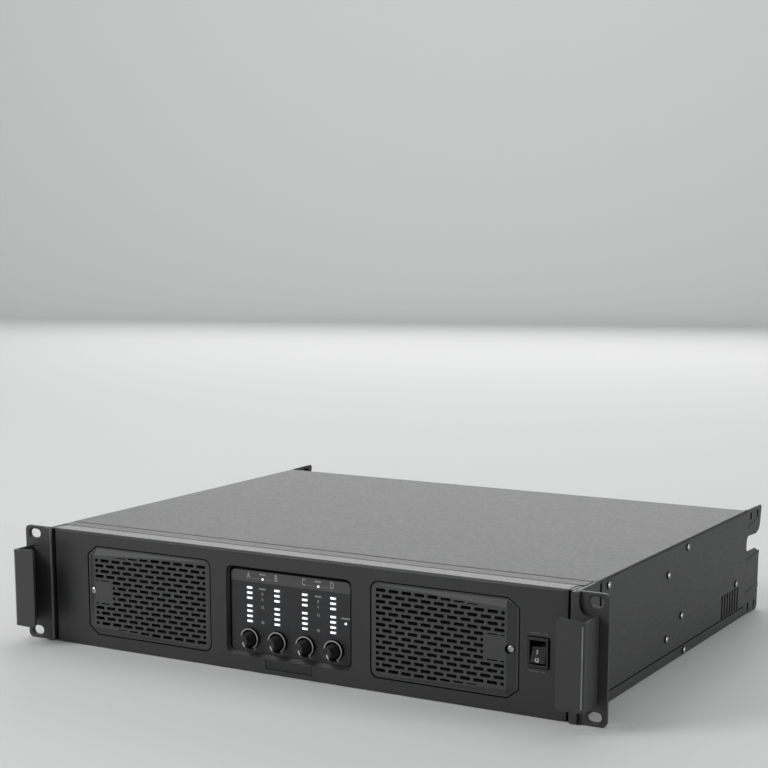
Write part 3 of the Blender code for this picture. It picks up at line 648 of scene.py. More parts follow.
def make_air_cover(label, side):
    body = label + "_air_cover"
    cover = cover_body(label + "_cover_grille", side, 0.0, (0.0002, 0.0030))
    soften(cover, 0.0007, 12, 3)
    cut(cover, cover_body("hollow", side, 0.0016, (0.0018, 0.0060)))
    outlines = []
    for u, z in slot_spans():
        radius = min(0.0008, (z[1] - z[0]) * 0.45, (u[1] - u[0]) * 0.45)
        outlines.append(flipped(rounded(u, z, radius, 2), side))
    slots = on_cover(plate("slots", outlines, "XZ", (-0.006, 0.0028)), side)
    spot = (side * COVER_SCREW[0], 0, COVER_SCREW[1])
    bore = on_cover(lathe("bore", [(0.0032, -0.0012), (0.0032, 0.006)], spot, sides=32), side)
    hole = on_cover(lathe("hole", [(0.0019, -0.0045), (0.0019, 0.001)], spot, sides=20), side)
    cut(cover, slots, bore, hole)
    tidy(cover)
    soften(cover, 0.00016, 50, 1)
    dressed(cover, COVER, body, [label + "_air_cover"])
    # Painted shade: a near-black flat ring on the fascia round the cover, standing in for the shadow in the
    # groove.
    outlines = [flipped(cover_ring(inset)[0], side) for inset in (-0.0009, -0.0002)]
    groove_shade = on_cover(plate(label + "_cover_groove_painted_shade", outlines, "XZ", (-0.0001, 0.0012)), side)
    dressed(groove_shade, PAINTED_SHADE, "chassis")
    centre = (cover_edge(side) + spot[0], -0.0003, spot[2])
    screw = cross_screw(label + "_cover_screw_head", centre, "Y", 0.0027, 0.0017, 0.0085)
    dressed(screw, SCREW, body, [label + "_cover_screw"])


for side_label, side_sign in SIDES:
    make_air_cover(side_label, side_sign)


# Front panel

FASCIA_END = 0.2127


def make_fascia():
    """The moulded front, hollow behind its ends and trimmed there to leave a dark gap beside the handles."""
    fascia = copied("front_fascia_shell", "front_fascia")
    for side in (-1, 1):
        hollow_x = sorted((side * 0.2105, side * 0.2160))
        cut(fascia, block("end_relief", hollow_x, (0.0016, 0.0170), (0.0040, 0.0850)))
        trim_x = sorted((side * FASCIA_END, side * 0.2160))
        cut(fascia, block("end_trim", trim_x, (-0.002, 0.0170), (-0.002, 0.090)))
    tidy(fascia)
    soften(fascia, 0.0004, 25, 2)
    dressed(fascia, FASCIA, "chassis", ["front_fascia"])
    name_plate = copied("blank_name_plate", "name_plate")
    soften(name_plate, 0.0003, 25, 2)
    dressed(name_plate, PRINT, "chassis", ["name_plate"])


make_fascia()


# Rack ears, handles and the chassis sheets

RACK_HOLES = (0.23255, (0.00595, 0.08215))
GRIP_BEND = (0.2320, -0.0200)  # the middle of the handle's bend, as (x, y)
GRIP_WIDTH = 0.0170
CHASSIS_HALF = 0.2195
MID_HEIGHT = 0.044


def tapered(name, near, far, span):
    """A closed body whose outline changes from near to far along y."""
    shape = bmesh.new()
    rings = [[shape.verts.new((x, y, z)) for x, z in ring] for ring, y in zip((near, far), span)]
    for ring in rings:
        shape.faces.new(ring)
    for index in range(len(near)):
        after = (index + 1) % len(near)
        shape.faces.new([rings[0][index], rings[0][after], rings[1][after], rings[1][index]])
    return from_shape(name, shape)


def make_ear(label, side):
    """A rack ear with countersunk slots; its leg ends a little early, to show the seam behind it."""
    ear = copied(label + "_ear_plate", label + "_rack_ear")
    for z in RACK_HOLES[1]:
        middle = (side * RACK_HOLES[0], z)
        near = oval(middle, 0.0128, 0.0096)
        far = oval(middle, 0.0098, 0.0066)
        cut(ear, tapered("countersink", near, far, (-0.0004, 0.0012)))
    tidy(ear)
    for corner in ear.data.vertices:
        if corner.co.y > 0.036:
            corner.co.y -= 0.0010
    soften(ear, 0.00025, 30, 2)
    dressed(ear, COAT, "chassis", [label + "_rack_ear"])


def make_handle(label, side):
    """The bent handle; its grip gets slightly taller towards the free edge."""
    handle = copied(label + "_handle_sheet", label + "_handle")
    for corner in handle.data.vertices:
        if abs(corner.co.x) < 0.2156 and corner.co.y > -0.0100:
            corner.co.x += side * 0.0006
        if corner.co.y < -0.0180:
            share = max(0.0, (GRIP_BEND[0] - abs(corner.co.x)) / GRIP_WIDTH)
            corner.co.z += 0.0018 * share if corner.co.z > MID_HEIGHT else -0.0004 * share
    soften(handle, 0.0003, 35, 2)
    dressed(handle, COAT, "chassis", [label + "_handle"], 40)


def make_handle_details(label, side):
    """A painted highlight along the handle's bend and on the left handle's front edge, and near-black painted
    shade between handle and fascia.
    """
    # Painted highlight: a thin light grey strip on the outer side of the handle's bend.
    highlight_band = arc(GRIP_BEND, 0.00306, -79, -62, 3) + arc(GRIP_BEND, 0.00288, -62, -79, 3)
    edge = plate(label + "_handle_painted_highlight", [flipped(highlight_band, side)], "XY", (0.0168, 0.0708))
    dressed(edge, PAINTED_HIGHLIGHT, "chassis")
    if side < 0:
        # Painted highlight: a light grey strip on the left handle's front edge.
        lip = block(label + "_handle_painted_highlight_lip", (-0.2158, -0.2153), (-0.00235, -0.0006), (0.0008, 0.0873))
        dressed(lip, PAINTED_HIGHLIGHT, "chassis")
    # Painted shade: a near-black block in the gap between fascia and handle, standing in for the shadow
    # there.
    x = sorted((side * 0.2112, side * 0.2155))
    gap_shade = block(label + "_end_gap_painted_shade", x, (0.0030, 0.0155), (0.0006, 0.0870))
    dressed(gap_shade, PAINTED_SHADE, "chassis")
    x = sorted((side * 0.2128, side * 0.2155))
    cap = block(label + "_end_gap_cap", x, (0.0020, 0.0155), (0.0871, 0.0877))
    dressed(cap, COAT, "chassis")


def make_sheets():
    """The lid, bulkhead and tray; the bulkhead's top strip draws back to show its seams."""
    for node, width in (("top_cover", 0.0009), ("front_bulkhead", 0.0003), ("base_tray", 0.0003)):
        piece = copied(node + "_sheet", node)
        for corner in piece.data.vertices:
            if node == "front_bulkhead" and corner.co.z > 0.080:
                corner.co.y += 0.0009 if corner.co.y < 0.020 else -0.0011
            if node == "top_cover" and abs(corner.co.x) > 0.2168 and corner.co.z > 0.080:
                corner.co.x = math.copysign(CHASSIS_HALF - 0.0001, corner.co.x)
        soften(piece, width, 35, 3)
        dressed(piece, COAT, "chassis", [node])


for side_label, side_sign in SIDES:
    make_ear(side_label, side_sign)
    make_handle(side_label, side_sign)
    make_handle_details(side_label, side_sign)
make_sheets()


# Side panels, with the louvre and the rear support brackets

SIDE_SCREWS = [(0.2035, 0.0816), (0.1641, 0.0674), (0.1939, 0.0315), (0.1634, 0.0199), (0.3204, 0.0312)]
SIDE_SCREWS += [(0.2014, 0.0035), (0.0507, 0.0821)]
BRACKET_FOLD = 0.3430
FLARE = 0.0012
FLARE_LENGTH = 0.020
FLARE_STEPS = 8
BRACKET_SHEET = 0.0010
BRACKET_SLOTS = [(0.3525, 0.0818), (0.3675, 0.0818), (0.3525, 0.0062), (0.3665, 0.0062)]
LOUVRE_Y = [0.2885 + 0.0063 * slot for slot in range(7)]
LOUVRE_SHEET = 0.0006
RIB_Z = (0.0735, 0.0450, 0.0175)
RIB_END = 0.3755


def flared(y):
    """How far the bracket stands out at y."""
    share = min(1.0, max(0.0, (y - BRACKET_FOLD) / FLARE_LENGTH))
    return FLARE * share * share * (3 - 2 * share)


def flare(obj, side, base=0.0):
    for corner in obj.data.vertices:
        corner.co.x += side * (base + flared(corner.co.y))
    return obj


def outward(side):
    return "X" if side > 0 else "-X"


def inside(side, deep, shallow):
    """The span in x from deep to shallow below the side panel's face."""
    return sorted((side * (CHASSIS_HALF - deep), side * (CHASSIS_HALF - shallow)))


def make_rib(name, side, z):
    """A long dent pressed into the bracket, that fades out towards its end."""
    shape = bmesh.new()
    start = BRACKET_FOLD + 0.0015
    across, along = 12, 24
    rows = []
    for step in range(along + 1):
        share = step / along
        y = start + (RIB_END - start) * share
        rise = 0.0006 * math.sin(math.pi * min(1, share * 4 + 0.02) / 2) * (1 - 0.8 * share)
        width = 0.0021 * math.sin(math.pi / 2 * min(1, share * 6 + 0.15))
        middle = z + 0.003 * share
        row = []
        for place in range(across + 1):
            angle = math.pi * place / across
            row.append(shape.verts.new((side * rise * math.sin(angle), y, middle - width * math.cos(angle))))
        rows.append(row)
    for lower, upper in zip(rows, rows[1:]):
        for place in range(across):
            shape.faces.new([lower[place], lower[place + 1], upper[place + 1], upper[place]])
    foot = bmesh.ops.extrude_face_region(shape, geom=list(shape.faces))
    for item in foot["geom"]:
        if isinstance(item, bmesh.types.BMVert):
            item.co.x = -side * 0.0004
    rib = flare(from_shape(name, shape), side, CHASSIS_HALF)
    dressed(rib, COAT, "chassis", smooth=50)


def sliced(obj, planes):
    """Cuts the mesh across y at each plane without parting it, so that it can bend there."""
    shape = bmesh.new()
    shape.from_mesh(obj.data)
    for plane in planes:
        bmesh.ops.bisect_plane(
            shape,
            geom=shape.verts[:] + shape.edges[:] + shape.faces[:],
            dist=1e-6,
            plane_co=(0, plane, 0),
            plane_no=(0, 1, 0),
        )
    shape.to_mesh(obj.data)
    shape.free()


def cut_side_openings(panel, side):
    """Thins the panel at the louvre and the bracket, cuts their slots, and lowers its edge under the lid."""
    louvre = ((0.2860, 0.3290), (0.0079, 0.0300), LOUVRE_SHEET)
    bracket = ((0.3450, 0.3900), (-0.0010, 0.0900), BRACKET_SHEET)
    thinned = [
        block("relief_" + str(y), inside(side, 0.0030, left), y, z)
        for y, z, left in (louvre, bracket)
    ]
    cut(panel, *thinned)
    through = around(side * CHASSIS_HALF, 0.004)
    slots = [block("louvre_" + str(y), through, around(y, 0.0016), (0.0088, 0.0275)) for y in LOUVRE_Y]
    for number, (y, z) in enumerate(BRACKET_SLOTS):
        slots.append(block("slot_" + str(number), through, around(y, 0.0016), around(z, 0.0030)))
    cut(panel, *slots)
    cut(panel, block("lid_lap", around(0, 0.3), (0.0200, 0.3420), (0.0862, 0.0900)))


def make_side_panel(label, side):
    panel = copied(label + "_side_sheet", label + "_side_panel")
    cut_side_openings(panel, side)
    for corner in panel.data.vertices:
        if 0.007 < corner.co.z < 0.008 and corner.co.y < 0.3427:
            corner.co.z += 0.0008
        if corner.co.y < 0.0390:
            corner.co.y += 0.0018
    sliced(panel, [BRACKET_FOLD + FLARE_LENGTH * step / FLARE_STEPS for step in range(FLARE_STEPS + 1)])
    dimples = []
    for number, (y, z) in enumerate(SIDE_SCREWS):
        if 0.006 < z < 0.080:
            centre = (side * CHASSIS_HALF, y, z)
            profile = [(0.0022, -0.0006), (0.0036, 0.0004)]
            dimples.append(lathe("dimple_" + str(number), profile, centre, outward(side), 24))
    cut(panel, *dimples)
    tidy(panel)
    soften(panel, 0.0002, 40, 2)
    flare(panel, side)
    dressed(panel, COAT, "chassis", [label + "_side_panel"], 25)


def make_side_painted_shade(label, side):
    """Painted shade: near-black strips behind the panel's seams, its louvre and the bracket's slots, so that
    they read as deep shadow.
    """
    seam_shades = (("bottom", (0.0395, 0.3420), (0.0066, 0.0090)), ("front", (0.0368, 0.0412), (0.0066, 0.0860)))
    for place, y, z in seam_shades:
        # Painted shade behind the seam.
        seam_shade = block(label + "_side_seam_painted_shade_" + place, inside(side, 0.0014, 0.0006), y, z)
        dressed(seam_shade, PAINTED_SHADE, "chassis")
    depth = inside(side, 0.0018, LOUVRE_SHEET + 0.0001)
    # Painted shade behind the louvre's slots.
    louvre_shade = block(label + "_louvre_screen", depth, (0.2862, 0.3288), (0.0080, 0.0299))
    dressed(louvre_shade, PAINTED_SHADE, "chassis")
    depth = inside(side, 0.0022, BRACKET_SHEET + 0.0001)
    for number, (y, z) in enumerate(BRACKET_SLOTS):
        # Painted shade behind each bracket slot.
        slot_shade = block(label + "_bracket_slot_painted_shade_" + str(number + 1), depth, around(y, 0.0028), around(z, 0.0038))
        dressed(flare(slot_shade, side), PAINTED_SHADE, "chassis")


def make_side_screws(label, side):
    """Bright cross-head screws, each ringed by a near-black washer shape of painted shade that stands for the
    shadow in the dimple round its head.
    """
    for number, (y, z) in enumerate(SIDE_SCREWS):
        name = label + "_side_screw_" + str(number + 1)
        centre = (side * (CHASSIS_HALF + 0.0006), y, z)
        screw = cross_screw(name, centre, outward(side), 0.0023, 0.0012, 0.0060, 13 * number)
        dressed(screw, SCREW, "chassis")
        profile = [(0.0017, 0.0007), (0.0017, -0.0006), (0.0028, -0.0006), (0.0028, 0.0006), (0.0026, 0.0007)]
        profile.append(profile[0])
        # Painted shade: a near-black ring round the screw head.
        name = label + "_side_screw_painted_shade_" + str(number + 1)
        screw_shade = lathe(name, profile, (side * CHASSIS_HALF, y, z), outward(side), 28)
        dressed(screw_shade, PAINTED_SHADE, "chassis")


for side_label, side_sign in SIDES:
    make_side_panel(side_label, side_sign)
    make_side_painted_shade(side_label, side_sign)
    for rib_number, rib_z in enumerate(RIB_Z):
        make_rib(side_label + "_bracket_rib_" + str(rib_number + 1), side_sign, rib_z)
    make_side_screws(side_label, side_sign)


# Control window

CHANNELS = "abcd"
METER_X = [-0.03615 + 0.02333 * channel for channel in range(4)]
BAR_PITCH = 0.00375
METER_Z = [0.0608 - BAR_PITCH * bar for bar in range(3)] + [0.0475 - BAR_PITCH * bar for bar in range(4)]
BAR_SIZE = (0.0040, 0.0012)
LAMPS = {"a": (-0.0249, 0.0679), "c": (0.0218, 0.0679), "d": (0.0442, 0.0439)}
SCALE_X = (-0.0250, 0.0218)
SCALE_MARKS = (("0", 0.0571), ("6", 0.0533), ("12", 0.0475), ("48", 0.0363))
DASHES = [(-0.0249, 0.0714), (0.0218, 0.0714), (-0.0249, 0.0608), (0.0218, 0.0608), (0.0442, 0.0476)]
HEADER_Z = 0.0653
WINDOW = ((-0.0526, 0.0492), (0.0140, 0.0756))
KNOB_X = [-0.0357 + 0.02343 * channel for channel in range(4)]
KNOB_Z = 0.0237
KNOB_TOP = 0.0077
KNOB_BORE = 0.0023
KNOB_REST = 150  # where the pointer rests, in degrees clockwise from straight up
FLUTES = 24
POINTER_HALF = 0.00045
COLLAR = 0.0019  # height of the raised ring around each knob
PRINT_Y = 0.0033  # the front of the printed panel
INK = (PRINT_Y - 0.00006, PRINT_Y + 0.0001)
OVERPRINT = (INK[0] - 0.00006, INK[1])
ON_COLLAR = (INK[0] - COLLAR, INK[1] - COLLAR)


def lettering(name, text, centre, height, narrow=0.75, weight=0.0):
    """Flat printed characters on the control panel or another face towards the front."""
    curve = bpy.data.curves.new(name, "FONT")
    curve.body = text
    curve.align_x = "CENTER"
    curve.align_y = "CENTER"
    curve.size = height * 1.38
    curve.extrude = 0.00008
    curve.offset = weight
    curve.resolution_u = 4
    shape = outline_shape(name, curve)
    bmesh.ops.remove_doubles(shape, verts=shape.verts, dist=1e-7)
    bmesh.ops.scale(shape, vec=(narrow, 1, 1), verts=shape.verts)
    matrix = Matrix.Translation(centre) @ PLANE_MATRIX["XZ"]
    bmesh.ops.transform(shape, matrix=matrix, verts=shape.verts)
    return from_shape(name, shape)


def ring_outline(centre, radius, width, start, end, steps=40):
    outer = arc(centre, radius + width / 2, start, end, steps)
    inner = arc(centre, radius - width / 2, end, start, steps)
    return outer + inner


def inked(name, outlines, finish, depth=INK):
    """A thin printed or inlaid shape on the front; also used for flat patches of painted shade."""
    dressed(plate(name, outlines, "XZ", depth), finish, "chassis")


def polar(centre, radius_x, radius_z, turn):
    """The point at that turn, in degrees, on the ellipse around centre."""
    angle = math.radians(turn)
    return (centre[0] + radius_x * math.cos(angle), centre[1] + radius_z * math.sin(angle))


def make_panel_face():
    """The printed panel, its lighter header band, and a near-black frame of painted shade inside the window's
    edge.
    """
    panel = copied("control_panel_plate", "control_panel")
    dressed(panel, PRINT, "chassis", ["control_panel"])
    holes = [circle(LAMPS[letter], 0.0013, 16) for letter in "ac"]
    band = rounded((-0.0528, 0.0494), (HEADER_Z, 0.0756), 0.0003, 1)
    inked("control_panel_header", [band] + holes, HEADER)
    x, z = WINDOW
    # Painted shade: a near-black frame round the window's inner edge, standing in for the shadow under its
    # rim.
    outer = rounded((x[0] - 0.0012, x[1] + 0.0012), (z[0] - 0.0012, z[1] + 0.0008), 0.0045, 6)
    inner = rounded((x[0] + 0.0009, x[1] - 0.0011), (z[0] - 0.0004, 0.0735), 0.0036, 6)
    inked("window_painted_shade", [outer, inner], PAINTED_SHADE, (INK[0] - 0.00012, INK[1]))


def make_panel_print():
    """Channel letters, the lines that join a pair of channels, the meter scales and the short dashes."""
    for letter, x in zip("ABCD", METER_X):
        place = (x - 0.0006, INK[0] - 0.00004, 0.0697)
        mark = lettering("channel_letter_" + letter, letter, place, 0.0050, 0.62, 0.00008)
        dressed(mark, INK_GREY, "chassis")
    for letter in "ac":
        lamp = LAMPS[letter]
        for number, side in enumerate((-1, 1)):
            name = "channel_pair_line_" + letter + "_" + str(number + 1)
            span = sorted((lamp[0] + side * 0.0026, lamp[0] + side * 0.0088))
            line = block(name, span, OVERPRINT, around(lamp[1], 0.00010))
            dressed(line, INK_DIM, "chassis")
    for number, x in enumerate(SCALE_X):
        for text, z in SCALE_MARKS:
            name = "meter_scale_" + text + "_" + str(number + 1)
            mark = lettering(name, text, (x, INK[0], z), 0.0021, 0.95, 0.0001)
            dressed(mark, INK_DIM, "chassis")
    for number, (x, z) in enumerate(DASHES):
        reach = 0.0036 if number == len(DASHES) - 1 else 0.0028
        outline = rounded(around(x, reach), around(z, 0.0006), 0.0004, 2)
        inked("lamp_dash_" + str(number + 1), [outline], INK_DIM, OVERPRINT)


def make_knob_surround(letter, x):
    """The raised ring around a knob with its printed scale, a ring of painted shade inside it, and the end
    marks; the raised ring is coloured near-black like the painted shade, so its flank reads as shadow.
    """
    centre = (x, KNOB_Z)
    # A real raised ring, given the near-black painted-shade colour so that its flank reads as a shadow
    # crescent.
    outlines = [circle(centre, 0.0078, 64), circle(centre, 0.0063, 64)]
    collar = plate("gain_collar_" + letter, outlines, "XZ", (PRINT_Y - COLLAR, PRINT_Y + 0.0001), 0.0002, 2)
    dressed(collar, PAINTED_SHADE, "chassis")
    # Painted shade: a near-black ring between the collar and the knob's skirt.
    inked("gain_painted_shade_" + letter, [circle(centre, 0.00635, 64), circle(centre, 0.0041, 48)], PAINTED_SHADE)
    inked("gain_scale_" + letter, [ring_outline(centre, 0.0071, 0.00095, 200, -62)], INK_GREY, ON_COLLAR)
    inked("gain_scale_low_" + letter, [circle(polar(centre, 0.0086, 0.0086, 243), 0.00065, 16)], INK_DIM)
    high = polar(centre, 0.0079, 0.0083, -63)
    tick = rounded(around(high[0], 0.0005), around(high[1], 0.0011), 0.0003, 2)
    inked("gain_scale_high_" + letter, [tick], INK_GREY)


def make_meter(letter, x):
    """The lit bars of one channel's light guide, with the guide behind them."""
    guide = copied("light_guide_body_" + letter, "light_guide_" + letter)
    soften(guide, 0.0002, 40, 2)
    dressed(guide, FINISHES["light_guide"], "chassis", ["light_guide_" + letter])
    for bar, z in enumerate(METER_Z):
        outline = rounded(around(x, BAR_SIZE[0] / 2), around(z, BAR_SIZE[1] / 2), 0.00055, 5)
        lens = plate("meter_bar_" + letter + "_" + str(bar + 1), [outline], "XZ", (0.0031, 0.0036), 0.0002, 2)
        dressed(lens, LIT, "chassis")
    if letter in LAMPS:
        lamp_x, lamp_z = LAMPS[letter]
        profile = [(0.0007, -0.0004), (0.0007, 0.0001), (0.0006, 0.0003), (0.0003, 0.0004), (0, 0.00045)]
        lens = lathe("status_lamp_" + letter, profile, (lamp_x, PRINT_Y, lamp_z), "Y", 24)
        dressed(lens, LIT, "chassis")


def make_knob(letter, x):
    """A gain knob: a wide skirt, a fluted tapering grip and a slightly dished face, with a pointer."""
    top = KNOB_TOP
    profile = [(0, 0.0012), (KNOB_BORE, 0.0012), (KNOB_BORE, -0.0029), (0.0050, -0.0029), (0.0051, -0.0026)]
    profile += [(0.00505, -0.0010), (0.0048, -0.0006)]
    profile += [(0.0048 - 0.0001 * step, 0.2 * step * top) for step in range(5)]
    profile += [(0.00435, top - 0.0006), (0.00425, top - 0.0003), (0.0040, top - 0.0001), (0.0036, top)]
    profile += [(0.0031, top - 0.0001), (0.0016, top - 0.0003), (0, top - 0.00035)]
    knob = lathe("gain_knob_grip_" + letter, profile, (0, 0, 0), "Z", 72)
    for corner in knob.data.vertices:
        radius = math.hypot(corner.co.x, corner.co.y)
        if 0.0043 < radius < 0.0049 and -0.0001 < corner.co.z < top - 0.0005:
            turn = math.atan2(corner.co.y, corner.co.x)
            shrink = 1 - 0.03 * (0.5 + 0.5 * math.cos(FLUTES * turn))
            corner.co.x *= shrink
            corner.co.y *= shrink
    place = Matrix.Translation((x, 0, KNOB_Z))
    knob.data.transform(place @ AXIS_TURN["Y"])
    knob.data.update()
    dressed(
        knob, FINISHES["knob_plastic"], "gain_control_" + letter,
        ["gain_knob_" + letter], 45,
    )
    pointer = pointer_shape("gain_pointer_" + letter)
    pointer.data.transform(place @ Matrix.Rotation(math.radians(KNOB_REST), 4, "Y"))
    dressed(pointer, WHITE, "gain_control_" + letter)


def pointer_shape(name):
    """A thin white line from near the middle of the knob's face to its edge."""
    top = KNOB_TOP
    path = [(0.0008, top - 0.00033), (0.0016, top - 0.0003), (0.0031, top - 0.0001), (0.0036, top)]
    path += [(0.0040, top - 0.0001), (0.0043, top - 0.00035), (0.00435, top - 0.0006)]
    lift, sunk = 0.00007, 0.0003
    shape = bmesh.new()
    rows = []
    for out, height in path:
        outer = [shape.verts.new((place * POINTER_HALF, -(height + lift), out + lift)) for place in (-1, 1)]
        inner = [shape.verts.new((place * POINTER_HALF, -(height - sunk), out - sunk)) for place in (1, -1)]
        rows.append(outer + inner)
    for first, second in zip(rows, rows[1:]):
        for index in range(4):
            after = (index + 1) % 4
            shape.faces.new([first[index], first[after], second[after], second[index]])
    shape.faces.new(rows[0])
    shape.faces.new(rows[-1])
    return from_shape(name, shape)


make_panel_face()
make_panel_print()
for channel_letter, knob_x in zip(CHANNELS, KNOB_X):
    make_knob_surround(channel_letter, knob_x)
for channel_letter, meter_x, knob_x in zip(CHANNELS, METER_X, KNOB_X):
    make_meter(channel_letter, meter_x)
    make_knob(channel_letter, knob_x)


# Power switch

SWITCH = (0.1928, 0.0438)
ROCKER_PIVOT_Y = 0.0030
ROCKER_TILT = -9
VALLEY_Z = 0.0018  # the rocker's two faces meet this far above its pivot
VALLEY_Y = -0.0026
FACE_SLOPE = (0.0012, 0.0094)
ON_MARK_LIFT = 0.0003
SWITCH_DASHES = [((0.1867, 0.1946), 0.0566), ((0.1957, 0.1991), 0.0566)]
SWITCH_DASHES += [((0.1857, 0.1936), 0.0310), ((0.1950, 0.1977), 0.0310)]


def make_rocker():
    """The rocker, with a short upper face that leaves a dark opening above it."""
    rocker = copied("power_rocker_cap", "power_rocker")
    for corner in rocker.data.vertices:
        height = corner.co.z - SWITCH[1]
        if height > 0.0045:
            corner.co.z -= 0.0040
        elif height < -0.0045:
            corner.co.z -= 0.0004
        elif abs(height) < 0.002 and corner.co.y < 0.0015:
            corner.co.z += VALLEY_Z
    soften(rocker, 0.0003, 25, 3)
    dressed(rocker, SWITCH_BLACK, "power_rocker", ["power_rocker"], 40)


def place_on_rocker(mark, along, lift=0.0):
    """Lays a mark on the rocker's lower face, at along above the pivot, and gives it its finish."""
    face_y = VALLEY_Y - FACE_SLOPE[0] * (VALLEY_Z - along) / FACE_SLOPE[1] - lift
    slope = Matrix.Rotation(-math.atan2(*FACE_SLOPE), 4, "X")
    pivot = Matrix.Translation((SWITCH[0], ROCKER_PIVOT_Y, SWITCH[1]))
    tilt = Matrix.Rotation(math.radians(ROCKER_TILT), 4, "X")
    mark.data.transform(pivot @ tilt @ Matrix.Translation((0, face_y, along)) @ slope)
    dressed(mark, WHITE, "power_rocker")


def make_switch():
    housing = copied("power_switch_bezel", "power_switch_housing")
    soften(housing, 0.0004, 30, 3)
    dressed(housing, SWITCH_BLACK, "chassis", ["power_switch_housing"], 40)
    make_rocker()
    stroke = rounded(around(-0.0009, 0.0003), around(0, 0.0014), 0.0001, 1)
    place_on_rocker(plate("rocker_mark_on", [stroke], "XZ", (-0.00006, 0.0004)), -0.0003, ON_MARK_LIFT)
    ring = ring_outline((-0.0005, 0), 0.00115, 0.0006, 0, 359.99, 32)
    place_on_rocker(plate("rocker_mark_off", [ring], "XZ", (-0.00006, 0.0001)), -0.0054)
    # Painted shade: a near-black frame round the switch bezel, standing in for its shadow outline.
    outer = rounded((0.1848, 0.2008), (0.0331, 0.0545), 0.0008, 3)
    inner = rounded((0.1856, 0.2000), (0.0339, 0.0537), 0.0006, 3)
    inked("switch_painted_shade", [outer, inner], PAINTED_SHADE, (-0.00015, 0.0001))
    for number, (x, z) in enumerate(SWITCH_DASHES):
        outline = rounded(x, around(z, 0.0006), 0.0004, 3)
        inked("switch_dash_" + str(number + 1), [outline], INK_FAINT, (-0.00012, 0.0001))


make_switch()


# Rear: sockets on their flanges, screws, and the lid's and tray's screws

REAR_FACE = 0.3415
FLANGE_REAR = 0.3440
SIGNAL_X = [-0.195 + 0.035 * channel for channel in range(4)]
SPEAKER_X = [-0.040 + 0.045 * channel for channel in range(4)]
INLET_X = 0.178
SOCKET_Z = 0.0265
SOCKET_HALF = (0.0130, 0.0155)
INLET_HALF = (0.0175, 0.0175)
SCREW_INSET = 0.0029
EARTH_TERMINAL = (0.150, REAR_FACE, 0.0120)
REAR_SCREW_X = (-0.2080, -0.1040, 0, 0.1040, 0.2080)
REAR_LETTER_Z = 0.0452


def behind(low, high):
    """The span in y from low to high, both counted from the flanges' outer face."""
    return (FLANGE_REAR + low, FLANGE_REAR + high)


def socket_flange(node, x, half, finish):
    """The flange with rounded edges and two screws in opposite corners."""
    flange = copied(node + "_flange", node)
    soften(flange, 0.0004, 40, 2)
    dressed(flange, finish, "chassis", [node], 40)
    for number, sign in enumerate((-1, 1)):
        centre = (x + sign * (half[0] - SCREW_INSET), FLANGE_REAR, SOCKET_Z - sign * (half[1] - SCREW_INSET))
        name = node + "_screw_" + str(number + 1)
        screw = cross_screw(name, centre, "-Y", 0.0021, 0.0010, 0.0040, 25 + 40 * number)
        dressed(screw, BLACK_SCREW, "chassis")


def socket_ring(node, x, radius, width, height, finish):
    """The raised rim of a round socket."""
    outer = radius + width
    profile = [(radius, -0.0015), (radius, height - 0.0004), (radius + 0.0004, height)]
    profile += [(outer - 0.0003, height), (outer, height - 0.0004), (outer, -0.0003), (radius, -0.0015)]
    ring = lathe(node + "_rim", profile, (x, FLANGE_REAR, SOCKET_Z), "-Y", 64)
    dressed(ring, finish, "chassis")


def contact(node, number, place, half, depth):
    blade = block(node + "_contact_" + str(number + 1), around(place[0], half), depth, around(place[1], half))
    dressed(blade, CONTACT, "chassis")


def make_signal_socket(letter, x):
    """A three-contact round signal socket: a dark insert with pin holes, a keyway and a latch."""
    node = "input_socket_" + letter
    socket_flange(node, x, SOCKET_HALF, NICKEL)
    centre = (x, SOCKET_Z)
    outlines = [circle(centre, 0.0092, 48)]
    outlines += [circle(polar(centre, 0.0046, 0.0046, turn), 0.0015, 20) for turn in (200, 340, 270)]
    outlines.append(rounded(around(x, 0.0016), (SOCKET_Z + 0.0056, SOCKET_Z + 0.0078), 0.0004, 3))
    insert = plate(node + "_insert", outlines, "XZ", behind(-0.0150, -0.0012), 0.0003, 2)
    dressed(insert, SOCKET_BLACK, "chassis")
    backing = plate(node + "_contacts", [circle(centre, 0.0090, 32)], "XZ", behind(-0.0175, -0.0151))
    dressed(backing, CONTACT, "chassis")
    outline = rounded(around(x, 0.0031), (SOCKET_Z + 0.0104, SOCKET_Z + 0.0136), 0.0009, 4)
    latch = plate(node + "_latch", [outline], "XZ", behind(-0.0002, 0.0016), 0.0004, 3)
    dressed(latch, NICKEL, "chassis")


def make_speaker_socket(letter, x):
    """A twist-lock loudspeaker socket: a ring channel around a hub with four contact slots."""
    node = "speaker_socket_" + letter
    socket_flange(node, x, SOCKET_HALF, SOCKET_BLACK)
    socket_ring(node, x, 0.0104, 0.0017, 0.0016, SOCKET_BLACK)
    centre = (x, FLANGE_REAR, SOCKET_Z)
    profile = [(0, -0.0240), (0.0066, -0.0240), (0.0066, -0.0014), (0.0060, -0.0008), (0, -0.0008)]
    hub = lathe(node + "_hub", profile, centre, "-Y", 48)
    turns = [45 + 90 * number for number in range(4)]
    slots = []
    for number, turn in enumerate(turns):
        slot = block("slot_" + str(number), (0.0036, 0.0070), (-0.0090, 0.0020), around(0, 0.0009))
        slot.data.transform(Matrix.Translation(centre) @ Matrix.Rotation(math.radians(turn), 4, "Y"))
        slots.append(slot)
    cut(hub, *slots)
    dressed(hub, SOCKET_BLACK, "chassis")
    for number, turn in enumerate(turns):
        contact(node, number, polar((x, SOCKET_Z), 0.0048, -0.0048, turn), 0.0006, behind(-0.0088, -0.0030))


